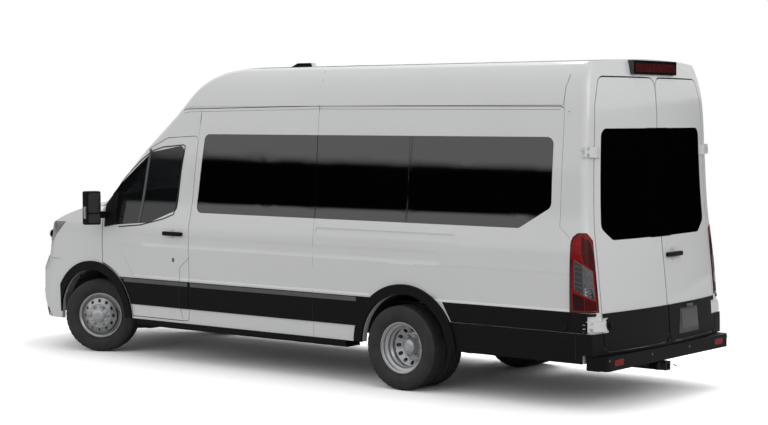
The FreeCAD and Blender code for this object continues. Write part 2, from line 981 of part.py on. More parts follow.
def rim_points(middle, disc, way):
    """Half section of a steel wheel: rim, dished disc and its middle opening.
    The disc's bolting face lies at disc from the rim's middle plane."""
    half = size.rim_width / 2
    lip, seat, wall = size.rim_lip, size.rim_seat_radius, size.rim_wall
    well = seat - size.rim_well_depth
    flange = size.rim_radius
    outer = [
        (half, flange), (half - lip, flange), (BEAD, seat), (half * 0.4, seat),
        (half * 0.2, well), (-half * 0.3, well), (-half * 0.45, seat), (-BEAD, seat),
        (-half + lip, flange), (-half, flange),
    ]
    inner = [
        (-half, flange - wall), (-half + lip, flange - wall), (-BEAD, seat - wall),
        (-half * 0.45, seat - wall), (-half * 0.3, well - wall), (half * 0.1, well - wall),
    ]
    face = disc - size.disc_wall
    plate = [
        (half * 0.3, well - wall - size.disc_wall), (disc * 0.55, size.hand_hole_circle + size.disc_wall * 2),
        (face, size.disc_flat_radius), (face, size.hub_bore_radius), (disc, size.hub_bore_radius),
        (disc, size.disc_flat_radius), (disc * 0.55 + size.disc_wall * 1.3, size.hand_hole_circle + size.disc_wall * 2),
        (half * 0.55, well - wall),
    ]
    last = [(half * 0.4, seat - wall), (BEAD, seat - wall), (half - lip, flange - wall), (half, flange - wall)]
    points = outer + inner + plate + last
    return [(middle + x * way, radius) for x, radius in points]


def hub_points(start, end, cap_radius):
    """Hub round the spindle, closed by a domed cap at its outer end."""
    bore = size.spindle_radius + size.hinge_play
    deep = end - size.hub_cap
    return [
        (start, bore), (start, size.hub_bore_radius), (end - size.hub_cap, size.hub_bore_radius),
        (end - size.hub_cap * 0.3, cap_radius), (end, cap_radius * 0.55), (end, 0), (deep, 0), (deep, bore),
    ]


def revolve_code(points):
    """The same turning for pieces that share a node."""
    wire = Part.makePolygon([Vector(x, radius, 0) for x, radius in points + points[:1]])
    return Part.Face(wire).revolve(Vector(0, 0, 0), Vector(1, 0, 0), 360)


def hand_holes(rim, at):
    holes = []
    for index in range(int(size.hand_hole_count)):
        angle = 2 * math.pi * index / size.hand_hole_count
        middle = Vector(at - size.rim_width, math.cos(angle) * size.hand_hole_circle,
                        math.sin(angle) * size.hand_hole_circle)
        holes.append(Part.makeCylinder(size.hand_hole_radius, size.rim_width * 2, middle, Vector(1, 0, 0)))
    return rim.cut(holes)


def steered(made, side):
    """Places a front piece at its kingpin, turned with the steering."""
    turn = Rotation(Vector(0, 0, 1), size.steer_turn + (0 if side > 0 else 180))
    made.Placement = Placement(Vector(size.kingpin_half_track * side, FRONT_AXLE, size.wheel_radius), turn)


OFFSET = size.dual_spacing / 2
FRONT_MIDDLE = size.front_track / 2 - size.kingpin_half_track


def front_wheels():
    for name, side in (("left", 1), ("right", -1)):
        tyre = start_body("tyre_front_" + name)
        turned(tyre, tyre_outline(FRONT_MIDDLE))
        steered(tyre, side)
        rim = revolve_code(rim_points(FRONT_MIDDLE, OFFSET, 1))
        rim = hand_holes(rim, FRONT_MIDDLE)
        hub = revolve_code(hub_points(size.knuckle_half + size.ball_clearance, FRONT_MIDDLE + OFFSET + size.hub_cap,
                                      size.hub_cap_radius))
        made = add_feature("rim_front_" + name, rim.fuse(hub))
        steered(made, side)


def rear_wheels():
    middle = size.rear_outer_half_track - OFFSET
    for name, side in (("left", 1), ("right", -1)):
        tyres = [revolve_code(tyre_outline(OFFSET)), revolve_code(tyre_outline(-OFFSET))]
        made = add_feature("tyres_rear_" + name, Part.makeCompound(tyres))
        outer = hand_holes(revolve_code(rim_points(OFFSET, OFFSET, -1)), 0)
        inner = hand_holes(revolve_code(rim_points(-OFFSET, OFFSET, 1)), 0)
        hub = revolve_code(hub_points(-size.rim_width / 2, size.rear_hub_reach, size.hub_cap_radius))
        rims = add_feature("rims_rear_" + name, outer.fuse(inner).fuse(hub))
        turn = Rotation(Vector(0, 0, 1), 0 if side > 0 else 180)
        for item in (made, rims):
            item.Placement = Placement(Vector(middle * side, REAR_AXLE, size.wheel_radius), turn)


def knuckles():
    for name, side in (("left", 1), ("right", -1)):
        low = size.ball_low - size.wheel_radius
        high = size.ball_high - size.wheel_radius
        post = block(-size.knuckle_half, size.knuckle_half, -size.knuckle_half, size.knuckle_half, low, high)
        spindle = cylinder_x(size.spindle_radius, 0, FRONT_MIDDLE + OFFSET - size.ball_clearance, 0, 0)
        arm_end = size.knuckle_half + size.steer_arm
        arm = block(-size.knuckle_half, -size.knuckle_half + size.arm_thick, 0, arm_end, low, low + size.arm_thick)
        made = add_feature("knuckle_" + name, post.fuse(spindle).fuse(arm))
        steered(made, side)
        if side < 0:
            flipped = block(-size.knuckle_half, -size.knuckle_half + size.arm_thick, -arm_end, 0,
                            low, low + size.arm_thick)
            made.Shape = post.fuse(spindle).fuse(flipped)
            steered(made, side)


front_wheels()
rear_wheels()
knuckles()


# Under the body

def add_box(name, x, y, z, wide, long, high):
    made = doc.addObject("Part::Box", name)
    made.setExpression("Length", text_of(wide))
    made.setExpression("Width", text_of(long))
    made.setExpression("Height", text_of(high))
    place(made, x, y, z)
    return made


def keep(made, name):
    made.Label = name
    PARTS.append(made)
    return made


def engine():
    keep(add_box("engine_block", -size.engine_half_width, FRONT_AXLE - size.engine_front_reach,
                 size.engine_bottom, size.engine_half_width * 2, size.engine_length, size.engine_height),
         "engine_block")


def rear_axle():
    half = size.rear_outer_half_track - OFFSET
    tube = cylinder_x(size.axle_radius, -half + size.rim_width, half - size.rim_width, REAR_AXLE, size.wheel_radius)
    spindle = cylinder_x(size.spindle_radius, -half - size.rim_lip, half + size.rim_lip,
                         REAR_AXLE, size.wheel_radius)
    collar = cylinder_x(size.hub_bore_radius, half - size.rim_width, half - size.rim_width / 2 - size.ball_clearance,
                        REAR_AXLE, size.wheel_radius)
    ball = cylinder_x(size.axle_box_radius, -size.axle_box_half, size.axle_box_half, REAR_AXLE, size.wheel_radius)
    ball = ball.makeFillet(size.axle_box_round, [edge for edge in ball.Edges if edge.Length > size.axle_box_radius * 3])
    add_feature("rear_axle", tube.fuse([spindle, collar, mirrored(collar), ball]))


def leaf_springs():
    """Arched leaves through both axle seats, their ends under the rails."""
    rise = size.spring_arch
    half = size.spring_half_length
    radius = (half * half + rise * rise) / (rise * 2)
    low = size.wheel_radius - size.axle_radius - size.spring_thick
    middle = low + radius
    ring = cylinder_x(radius, size.spring_half_gap, size.spring_half_gap + size.spring_width, REAR_AXLE, middle)
    ring = ring.cut(cylinder_x(radius - size.spring_thick, size.spring_half_gap,
                               size.spring_half_gap + size.spring_width, REAR_AXLE, middle))
    ring = ring.common(block(0, WIDE, REAR_AXLE - half, REAR_AXLE + half, 0, size.floor_top - size.floor_depth))
    add_feature("leaf_springs", both(ring))


def drive_line():
    start = FRONT_AXLE - size.engine_front_reach + size.engine_length
    end = REAR_AXLE - size.axle_box_radius - size.ball_clearance
    made = Part.makeCylinder(size.shaft_radius, end - start, Vector(0, start, size.wheel_radius),
                             Vector(0, 1, 0))
    made = made.fuse(block(-size.shaft_radius * 2, size.shaft_radius * 2, start,
                           start + size.gearbox_length, size.wheel_radius - size.shaft_radius * 1.3,
                           size.engine_bottom + size.gearbox_height))
    add_feature("drive_shaft", made)


def fuel_tank():
    y = REAR_AXLE - size.spring_half_length - size.tank_length - size.ball_low
    shape = block(size.tank_inner, size.tank_outer, y, y + size.tank_length, size.tank_bottom,
                  size.floor_top - size.floor_depth)
    made = shape.makeFillet(size.tank_corner, [edge for edge in shape.Edges
                                               if edge.CenterOfMass.z < size.floor_top - size.floor_depth - 1])
    add_feature("fuel_tank", made)


def exhaust():
    start = Vector(size.pipe_x, FRONT_AXLE - size.engine_front_reach + size.engine_length, size.pipe_height)
    turn_y = REAR_AXLE - size.spring_half_length
    pipe = Part.makeCylinder(size.pipe_radius, turn_y - start.y, start, Vector(0, 1, 0))
    silencer = Part.makeCylinder(size.silencer_radius, size.silencer_length,
                                 Vector(size.pipe_x, turn_y - size.silencer_length * 2, size.pipe_height),
                                 Vector(0, 1, 0))
    hanger = block(size.pipe_x - size.pipe_radius / 2, size.pipe_x + size.pipe_radius / 2,
                   turn_y - size.silencer_length * 2 + size.pipe_radius,
                   turn_y - size.silencer_length * 2 + size.pipe_radius * 3,
                   size.pipe_height, size.floor_top - size.floor_depth)
    add_feature("exhaust", pipe.fuse(silencer).fuse(hanger))


def front_subframe():
    """Cross beam under the engine, lower arms out to the ball joints, and the struts."""
    base = size.ball_low - size.arm_thick - size.ball_clearance
    half = size.subframe_length / 2
    beam = block(-size.subframe_half_width, size.subframe_half_width, FRONT_AXLE - half, FRONT_AXLE + half,
                 base, base + size.subframe_thick)
    posts = [block(size.rail_half_gap, size.rail_half_gap + size.rail_width,
                   FRONT_AXLE + way * half - (size.rail_width if way > 0 else 0),
                   FRONT_AXLE + way * half + (0 if way > 0 else size.rail_width),
                   base, size.floor_top - size.floor_depth - size.rail_height) for way in (-1, 1)]
    arm = plan_prism([
        (size.subframe_half_width - size.subframe_thick, FRONT_AXLE - half),
        (size.arm_waist_half_track, FRONT_AXLE - size.arm_waist),
        (size.kingpin_half_track + size.knuckle_half, FRONT_AXLE - size.knuckle_half),
        (size.kingpin_half_track + size.knuckle_half, FRONT_AXLE + size.knuckle_half),
        (size.arm_waist_half_track, FRONT_AXLE + size.arm_waist),
        (size.subframe_half_width - size.subframe_thick, FRONT_AXLE + half),
    ], base, base + size.arm_thick)
    foot = size.ball_high + size.ball_clearance
    strut = cylinder_z(size.strut_radius, foot, size.strut_top, size.kingpin_half_track - size.strut_inset,
                       FRONT_AXLE)
    strut = strut.common(cylinder_x(size.arch_radius - size.ball_clearance, 0, WIDE, FRONT_ARCH, size.wheel_radius))
    yoke = block(size.kingpin_half_track - size.strut_inset, size.kingpin_half_track + size.knuckle_half,
                 FRONT_AXLE - size.knuckle_half, FRONT_AXLE + size.knuckle_half, foot, foot + size.arm_thick)
    half_set = arm.fuse(posts + [])
    made = beam.fuse([half_set, mirrored(half_set)])
    solids = [made.Solids[0], strut.fuse(yoke), mirrored(strut.fuse(yoke))]
    add_feature("front_subframe", Part.makeCompound(solids))


engine()
rear_axle()
leaf_springs()
drive_line()
fuel_tank()
exhaust()
front_subframe()


# Cabin

def seat_outline(y):
    base = size.floor_top
    top = base + size.seat_base + size.seat_cushion
    back = y + size.seat_depth
    lean = size.seat_back_thick
    return [
        (y, base + size.seat_base), (y, top - size.seat_lip), (y + size.seat_lip * 2, top),
        (back - size.seat_back_thick, top - size.seat_lip), (back, top + size.seat_back_height),
        (back + lean, top + size.seat_back_height - size.seat_lip), (back + size.seat_lip, base + size.seat_base),
    ]


def seat(x, y, wide):
    body = side_prism(seat_outline(y), x - wide / 2, x + wide / 2, size.seat_round)
    base = block(x - wide * 0.35, x + wide * 0.35, y + size.seat_lip * 2, y + size.seat_depth - size.seat_lip,
                 size.floor_top, size.floor_top + size.seat_base)
    head = block(x - size.head_rest, x + size.head_rest, y + size.seat_depth + size.seat_lip,
                 y + size.seat_depth + size.seat_back_thick,
                 size.floor_top + size.seat_base + size.seat_cushion + size.seat_back_height - size.seat_lip,
                 size.floor_top + size.seat_base + size.seat_cushion + size.seat_back_height + size.head_rest)
    return body.fuse(base).fuse(head)


def seats():
    y = FRONT_AXLE + size.front_seat_setback
    front = [seat(size.seat_side_x, y, size.seat_width), seat(-size.seat_side_x, y, size.seat_width)]
    add_feature("front_seats", Part.makeCompound(front))
    rows = []
    for row in range(int(size.row_count)):
        y = FRONT_AXLE + size.row_first_setback + size.row_pitch * row
        rows.append(seat(size.seat_side_x - size.seat_aisle, y, size.bench_width))
        rows.append(seat(-size.seat_side_x - size.seat_aisle, y, size.seat_width))
    housing = cylinder_x(size.arch_radius + size.arch_shell + size.ball_clearance,
                         size.rear_arch_depth - size.ball_clearance, WIDE, REAR_ARCH, size.wheel_radius)
    housings = housing.fuse(mirrored(housing))
    add_feature("passenger_seats", Part.makeCompound([row.cut(housings) for row in rows]))


def steering_gear(grow=0):
    """Ring middle, tilt and the column behind the steering wheel."""
    turn = Rotation(Vector(1, 0, 0), size.wheel_tilt)
    way = turn.multVec(Vector(0, 0, 1))
    middle = Vector(size.wheel_x, FRONT_AXLE + size.wheel_setback, size.wheel_height)
    length = size.column_length + grow
    column = Part.makeCylinder(size.column_radius + grow, length, middle - way * length, way)
    return middle, turn, way, column


def dashboard():
    y = CABIN_START + size.firewall_wall
    shape = side_prism([
        (y, size.dash_bottom), (y, size.dash_top + size.seat_lip), (y + size.dash_depth * 0.6, size.dash_top),
        (y + size.dash_depth, size.dash_top - size.seat_lip * 2),
        (y + size.dash_depth * 0.85, size.dash_bottom),
    ], -size.pillar_half_width, size.pillar_half_width, size.seat_round)
    add_feature("dashboard", shape.cut(steering_gear(size.ball_clearance)[-1]))


def steering_wheel():
    middle, turn, way, column = steering_gear()
    ring = Part.makeTorus(size.wheel_rim_radius, size.wheel_rim_thick, middle, way)
    spoke = Part.makeBox(size.wheel_rim_radius * 2, size.wheel_rim_thick * 2, size.wheel_rim_thick,
                         Vector(-size.wheel_rim_radius, -size.wheel_rim_thick, -size.wheel_rim_thick / 2))
    spoke.Placement = Placement(middle, turn).multiply(spoke.Placement)
    add_feature("steering_wheel", ring.fuse(column).fuse(spoke))


seats()
dashboard()
steering_wheel()


# Zones shared by the panels

LEFT_HALF = block(0, WIDE, NOSE - size.overrun, TAIL + size.overrun, 0, TOP)
RIGHT_HALF = block(-WIDE, 0, NOSE - size.overrun, TAIL + size.overrun, 0, TOP)
REAR_HOLE = arch_hole(REAR_ARCH, size.arch_radius)
FRONT_HOLE = arch_hole(FRONT_ARCH, size.arch_radius)
FLARE_DISC = arch_hole(FRONT_ARCH, size.flare_radius)
LOW_CUT = block(-WIDE, WIDE, NOSE - size.overrun, TAIL + size.overrun, 0, size.body_bottom)
NOSE_TOP = size.belt_height - size.hood_drop / 2
NOSE_ZONE = block(-WIDE, WIDE, NOSE - size.overrun, CABIN_START, 0, NOSE_TOP)
STEP_ZONE = block(-WIDE, WIDE, TAIL - size.step_depth - GAP, TAIL + size.overrun, 0, size.step_top + GAP)
SHELL = SKIN.cut(INNER).cut(LOW_CUT).cut(REAR_HOLE).cut(STEP_ZONE)
BED = SKIN.cut(PANE_BACK)
PANE_LAYER = PANE_TOP.cut(PANE_BACK)
REAR_START = REAR_AXLE + size.rear_belt_reach / 2 + size.overrun
REAR_END = TAIL + size.overrun


def gutter_zone():
    """Everything above the gutter line, with the brow over the windshield."""
    low = size.header_height + size.body_wall / 2
    front = FRONT_AXLE + size.header_setback + size.windshield_bulge
    return side_prism([
        (NOSE - size.overrun, low),
        (front, low),
        (front + size.windshield_bulge, size.gutter_height),
        (REAR_END, size.gutter_height),
        (REAR_END, TOP),
        (NOSE - size.overrun, TOP),
    ], -WIDE, WIDE)


def shield_prism(grow=0):
    return front_prism(windshield_outline(), NOSE, FRONT_AXLE + size.roof_front_setback,
                       size.shield_corner, grow)


def rear_window_prism(grow=0):
    return front_prism(rear_window_outline(), REAR_START, REAR_END, size.rear_window_corner, grow)


GUTTER_ZONE = gutter_zone()
BAND_PRISM = side_prism(BAND_OUTLINE, SIDE_START, WIDE, size.band_corner)
PANE_ENDS = [BAND_FRONT - size.overrun, SEAM_MIDDLE, SEAM_REAR, BAND_REAR + size.overrun]
WINDOW_HOLES = [side_prism(points, SIDE_START, WIDE, size.band_corner, -size.pane_bond)
                for points in PANE_OUTLINES]


def lamp_zone():
    """Rear corner taken by the tail lamp, its upper corners cut off."""
    front, cut = REAR_AXLE + size.tail_lamp_front_setback, size.tail_lamp_cut
    low, top, inner = size.tail_lamp_bottom, size.tail_lamp_top, size.tail_lamp_inner
    side = side_prism([(front, low), (REAR_END, low), (REAR_END, top), (front + cut, top), (front, top - cut)],
                      inner, WIDE)
    rear = front_prism([(inner, low), (WIDE, low), (WIDE, top), (inner + cut, top), (inner, top - cut)],
                       front, REAR_END)
    return side.common(rear)


LAMP_CORNER = lamp_zone()


# Creases, seams and recesses of the skin

def crease():
    """Long shallow hollow along the side, run out at both ends."""
    x = size.waist_half_width - size.hinge_play + size.crease_radius - size.crease_depth
    start, end = FRONT_AXLE + size.crease_front_setback, REAR_AXLE + size.crease_rear_setback
    height, radius = size.crease_height, size.crease_radius
    hollow = Part.makeCylinder(radius, end - start, Vector(x, start, height), Vector(0, 1, 0))
    return hollow.fuse([Part.makeSphere(radius, Vector(x, y, height)) for y in (start, end)])


def scoop(outline):
    """Wedge that leaves a ledge over the cladding, within a side view outline."""
    x = size.waist_half_width
    wedge = front_prism([
        (x - size.hinge_play, size.scoop_top), (x - size.scoop_depth - size.seam, size.scoop_low),
        (x, size.scoop_edge), (WIDE, size.scoop_edge), (WIDE, size.scoop_top),
    ], FRONT_AXLE, REAR_END)
    return wedge.common(side_prism(outline, SIDE_START, WIDE))


def scoops():
    low, top = size.scoop_edge - size.overrun / 5, size.scoop_top + size.overrun / 5
    front = FRONT_AXLE + size.scoop_front_setback
    arch = REAR_AXLE - size.scoop_arch_reach
    tail = REAR_AXLE + size.scoop_tail_setback
    lamp = REAR_AXLE + size.tail_lamp_front_setback
    return [
        scoop([(front, low), (arch, low), (arch + size.scoop_arch_slant, top), (front - size.scoop_front_slant, top)]),
        scoop([(tail, low), (lamp, low), (lamp, top), (tail - size.scoop_arch_slant, top)]),
    ]


def seam_lines():
    """Thin side view strips along the joins of the panels."""
    half = size.seam / 2
    quarter = REAR_AXLE + size.seam_quarter_setback
    door = FRONT_AXLE + size.door_rear_setback + size.door_rear_lean
    slant = size.seam_quarter_slant
    strips = [
        [(SEAM_MIDDLE - half, size.body_bottom), (SEAM_MIDDLE + half, size.body_bottom),
         (SEAM_MIDDLE + half, size.seam_top), (SEAM_MIDDLE - half, size.seam_top)],
        [(quarter - half, size.seam_quarter_bend), (quarter + slant - half, size.seam_quarter_end),
         (quarter + slant + size.seam, size.seam_quarter_end), (quarter + half, size.seam_quarter_bend),
         (quarter + half, size.seam_top), (quarter - half, size.seam_top)],
        [(door - half, size.door_top), (door + half, size.door_top),
         (door + size.door_rear_lean / 2 + half, size.seam_top), (door + size.door_rear_lean / 2 - half, size.seam_top)],
    ]
    return [side_prism(points, SIDE_START, WIDE) for points in strips]


def rail_slot():
    front, rear = REAR_AXLE - size.rail_slot_front_reach, REAR_AXLE + size.rail_slot_rear_setback
    return side_prism([
        (front, size.rail_slot_bottom), (rear, size.rail_slot_bottom),
        (rear, size.rail_slot_top), (front, size.rail_slot_top),
    ], SIDE_START, WIDE, size.rail_slot_corner)


BED_LEFT = BED.common(LEFT_HALF)
RECESS = SKIN.cut(body_form(size.recess_depth)).common(
    block(SIDE_START, WIDE, FRONT_AXLE + size.brow_setback - size.overrun / 2, REAR_END, size.body_bottom,
          size.seam_top + size.overrun / 5))
REBATE = block(SIDE_START, WIDE, FRONT_AXLE + size.brow_setback, REAR_AXLE + size.seam_quarter_setback,
               size.gutter_height - size.gutter_rebate, size.gutter_height)
SEAMS = seam_lines()
HOLLOWS = [crease()] + scoops()


# Body sides, roof and doors

def cabin_wall():
    """Left half of the cabin wall without its door, windows and lamp."""
    nose = block(0, WIDE, NOSE - size.overrun, DOOR_FRONT, 0, NOSE_TOP)
    wall = SHELL.common(LEFT_HALF).cut(nose).cut(GUTTER_ZONE)
    wall = wall.cut(side_prism(door_outline(), SIDE_START, WIDE, size.door_corner))
    wall = wall.cut(FLARE_DISC).cut(COWL_ZONE).cut(shield_prism(-size.pane_bond))
    wall = biggest(wall.cut(BED_LEFT.common(shield_prism())).cut(REAR_ZONE).cut(LAMP_CORNER))
    wall = biggest(wall.cut([BED_LEFT.common(BAND_PRISM)] + WINDOW_HOLES))
    wall = biggest(wall.cut([RECESS.common(zone) for zone in SEAMS + [rail_slot(), REBATE]]))
    wall = biggest(wall.cut(HOLLOWS))
    return wall


def hinge_pillar():
    """Post behind the front fender that carries the front door, with its two hinge arms."""
    pin_x = size.waist_half_width - size.door_pin_inset
    pin_y = DOOR_FRONT + size.door_pin_setback
    inner = size.pillar_half_width
    outer = inner + size.pillar_width
    post = block(inner, outer, CABIN_START - size.pillar_depth, pin_y + size.hinge_leaf,
                 size.floor_top, size.belt_height - size.hood_drop)
    for low in (size.door_hinge_low, size.door_hinge_high):
        top = low + size.hinge_length
        post = post.fuse(block(inner, pin_x, pin_y, pin_y + size.hinge_leaf, low, top))
        post = post.fuse(cylinder_z(size.hinge_radius, low, top, pin_x, pin_y))
    return post


def rear_pin_line():
    """Lower and upper points of the rear door's hinge line, which leans with the body."""
    low = Vector(size.rear_pin_low_x, REAR_AXLE + size.rear_pin_low_reach, size.rear_hinge_low)
    high = Vector(size.rear_pin_high_x, REAR_AXLE + size.rear_pin_high_reach, size.rear_hinge_high)
    return low, high


def strap_outline(rise, shut, end):
    """Plan outline of a door strap round the corner, seen from its pin."""
    radius, proud = size.rear_hinge_radius, size.rear_strap_thick
    bend, knee = size.rear_strap_bend, size.rear_strap_knee
    near, clear = rise * size.near_rise_share, size.hinge_clearance
    inner = [
        (-radius, 0), (-bend, near), (-knee, rise + clear), (-shut, rise + clear * 2), (-shut - proud, rise),
        (-end, rise + clear),
    ]
    outer = [
        (-end, rise + clear + proud), (-shut, rise + clear * 2 + proud), (-knee, rise + clear + proud),
        (-bend, near + proud), (0, radius),
    ]
    return inner + outer


def rear_hinges(door_side):
    """Hinge leaves of the left rear door, on the door or on the corner of the body."""
    low, high = rear_pin_line()
    turn = Rotation(Vector(0, 0, 1), high - low)
    radius = size.rear_hinge_radius
    half = size.rear_hinge_length / 2
    third = size.rear_hinge_length / 6
    leaves = []
    for point, rise, shut in ((low, size.rear_rise_low, size.rear_shut_low),
                              (high, size.rear_rise_high, size.rear_shut_high)):
        if door_side:
            span = third - size.hinge_play * 2
            strap = plan_prism(strap_outline(rise, shut, shut + size.rear_strap_lap), -half, half)
            strap = strap.cut(block(-size.rear_strap_bend, radius * 2, -WIDE, WIDE, -half, -span))
            strap = strap.cut(block(-size.rear_strap_bend, radius * 2, -WIDE, WIDE, span, half))
            leaf = strap.fuse(cylinder_z(radius, -span, span, 0, 0))
            leaf = leaf.cut(cylinder_z(size.rear_pin_radius + size.hinge_play, -half, half, 0, 0))
        else:
            leaf = cylinder_z(size.rear_pin_radius, -half, half, 0, 0)
            for start, end in ((-half, -third), (third, half)):
                foot = block(-size.rear_foot, 0, -size.rear_foot, 0, start, end)
                leaf = leaf.fuse([foot, cylinder_z(radius, start, end, 0, 0)])
        leaf.Placement = Placement(point, turn)
        leaves.append(leaf if door_side else leaf.cut(INNER))
    return leaves


CABIN_WALL = cabin_wall()
SLIDE_ZONE = side_prism(slide_outline(), SIDE_START, WIDE, size.door_corner)
SLIDE_PANEL = side_prism(slide_outline(), SIDE_START, WIDE, size.door_corner, -HALF_SEAM)


def body_sides():
    leaves = rear_hinges(False)
    left = CABIN_WALL.fuse(leaves)
    right = CABIN_WALL.cut(SLIDE_ZONE).fuse(leaves)
    add_feature("body_side_left", biggest(left))
    add_feature("body_side_right", mirrored(biggest(right)))
    add_feature("sliding_door", mirrored(biggest(CABIN_WALL.common(SLIDE_PANEL))))


def roof():
    shell = SHELL.common(GUTTER_ZONE)
    shell = shell.cut(REAR_ZONE).cut(mirrored(REAR_ZONE))
    shell = shell.cut(shield_prism(-size.pane_bond)).cut(BED.common(shield_prism()))
    add_feature("roof", biggest(shell))


def front_doors():
    zone = side_prism(door_outline(), SIDE_START, WIDE, size.door_corner, -GAP)
    panel = SHELL.common(zone).cut(arch_hole(FRONT_ARCH, size.flare_radius + size.flare_gap))
    panel = biggest(panel).cut(HOLLOWS)
    window = side_prism(door_window_outline(), SIDE_START, WIDE, size.door_window_corner)
    panel = panel.cut(window)
    pin_x = size.waist_half_width - size.door_pin_inset
    pin_y = DOOR_FRONT + size.door_pin_setback
    for low in (size.door_hinge_low, size.door_hinge_high):
        start, end = low - size.hinge_leaf, low + size.hinge_length + size.hinge_leaf
        panel = panel.cut(block(0, pin_x, NOSE, pin_y + size.hinge_leaf + GAP, start, end))
        panel = panel.cut(cylinder_z(size.hinge_radius + size.hinge_play, start, end, pin_x, pin_y))
    panel = biggest(panel)
    glass = biggest(PANE_LAYER.common(window))
    for side, flip in (("left", False), ("right", True)):
        add_feature("door_front_" + side, mirrored(panel) if flip else panel)
        add_feature("door_glass_" + side, mirrored(glass) if flip else glass)


def rear_doors():
    panel = SHELL.common(front_prism(rear_door_outline(), REAR_START, REAR_END,
                                     size.rear_door_corner, -size.seam))
    panel = panel.cut(rear_window_prism(-size.pane_bond)).cut(BED.common(rear_window_prism()))
    panel = biggest(biggest(panel).fuse(rear_hinges(True)))
    glass = biggest(PANE_LAYER.common(rear_window_prism()))
    for side, flip in (("left", False), ("right", True)):
        add_feature("rear_door_" + side, mirrored(panel) if flip else panel)
        add_feature("rear_glass_" + side, mirrored(glass) if flip else glass)


def glass():
    add_feature("windshield", biggest(PANE_LAYER.common(shield_prism())))
    band = PANE_LAYER.common(BAND_PRISM)
    panes = [biggest(band.common(block(SIDE_START, WIDE, start + HALF_SEAM, end - HALF_SEAM, 0, TOP)))
             for start, end in zip(PANE_ENDS[:-1], PANE_ENDS[1:])]
    add_feature("side_glass_left", Part.makeCompound(panes))
    add_feature("side_glass_right", Part.makeCompound([mirrored(pane) for pane in panes]))


body_sides()
roof()
front_doors()
rear_doors()
glass()


# Nose

COWL_UNDER = body_form(size.cowl_drop + size.cowl_wall)


def front_end():
    sheet = SKIN.cut(SHEET).cut(LOW_CUT)
    zone = NOSE_ZONE.fuse(FLARE_DISC.common(block(-WIDE, WIDE, CABIN_START - size.overrun, REAR_AXLE,
                                                  0, size.waist_height)))
    fender = sheet.common(zone).common(LEFT_HALF).cut(HOOD_ZONE).cut(FRONT_HOLE)
    lamp_top = size.lamp_top
    rear = FRONT_AXLE - size.lamp_rear_reach
    lamp_zone = side_prism([
        (NOSE - size.overrun, size.lamp_bottom),
        (rear - size.lamp_rear_slope, size.lamp_bottom),
        (rear, lamp_top),
        (NOSE - size.overrun, lamp_top),
    ], size.lamp_inner, WIDE)
    bumper_zone = block(-WIDE, WIDE, NOSE - size.overrun, FRONT_AXLE - size.arch_radius + size.front_arch_offset,
                        0, size.bumper_top)
    grille_zone = block(-size.lamp_inner, size.lamp_inner, NOSE - size.overrun, FRONT_AXLE,
                        size.bumper_top, size.hood_front_height)
    fender = fender.cut(lamp_zone).cut(bumper_zone).cut(grille_zone)
    fender = biggest(fender)
    add_feature("front_fenders", both(fender))
    lamp = SHELL.common(lamp_zone).cut(HOOD_ZONE)
    add_feature("head_lamps", both(biggest(lamp)))
    hood = SKIN.cut(HOOD_INNER).common(curved_plan(hood_outline(GAP), HOOD_LOW, TOP))
    lug_y = FRONT_AXLE - size.hood_pin_reach
    lug = block(size.hood_pin_half_width, size.hood_pin_half_width + size.hood_pin_length / 2,
                lug_y - size.hood_lug, lug_y + size.hood_pin_radius * 2,
                size.hood_pin_height - size.hood_pin_radius * 2, size.hood_pin_height + size.hood_pin_radius * 1.2)
    bore = cylinder_x(size.hood_pin_radius + size.hinge_play, 0, WIDE, lug_y, size.hood_pin_height)
    lug = lug.cut(bore)
    hood = biggest(hood).fuse([lug, mirrored(lug)]).cut(
        cylinder_x(size.hood_pin_radius + size.hinge_play, -WIDE, WIDE, lug_y, size.hood_pin_height))
    add_feature("hood", biggest(hood))
    cowl = body_form(size.cowl_drop).cut(COWL_UNDER)
    cowl = cowl.common(curved_plan(hood_outline(-size.cowl_margin, size.hood_rear_gap + size.cowl_margin),
                                   HOOD_LOW, TOP))
    cowl = cowl.cut(curved_plan(hood_outline(-size.cowl_margin * 2, GAP), HOOD_LOW - size.overrun, TOP))
    notch = block(size.hood_pin_half_width - size.hinge_leaf, size.hood_pin_half_width + size.hood_lug,
                  lug_y - size.hood_lug - GAP, lug_y + size.hood_pin_radius * 4, 0, TOP)
    cowl = cowl.cut(shield_prism(-size.pane_bond)).cut(notch).cut(mirrored(notch))
    add_feature("cowl_panel", biggest(cowl))


def front_bumper():
    levels = [
        (size.bumper_bottom, FRONT_AXLE - size.nose_low_reach - size.bumper_tuck),
        (size.bumper_mid_height, NOSE),
        (size.bumper_top - size.bumper_tuck * 2, NOSE),
        (size.bumper_top, NOSE + size.bumper_tuck),
    ]
    outer = Part.makeLoft([nose_outline(z, y, size.bumper_half_width) for z, y in levels], True, True)
    wall = size.bumper_wall
    inner = Part.makeLoft([nose_outline(z, y + wall, size.bumper_half_width - wall) for z, y in levels],
                          True, True)
    shell = outer.cut(inner).cut(block(-WIDE, WIDE, FRONT_AXLE - size.arch_radius + size.front_arch_offset,
                                       REAR_END, 0, TOP))
    shell = shell.cut(FRONT_HOLE)
    intake = front_prism([
        (-size.intake_half_width, size.intake_bottom),
        (size.intake_half_width, size.intake_bottom),
        (size.intake_half_width, size.intake_top),
        (-size.intake_half_width, size.intake_top),
    ], NOSE - size.overrun, FRONT_AXLE, size.mirror_corner)
    add_feature("front_bumper", biggest(shell.cut(intake)))


front_end()
front_bumper()


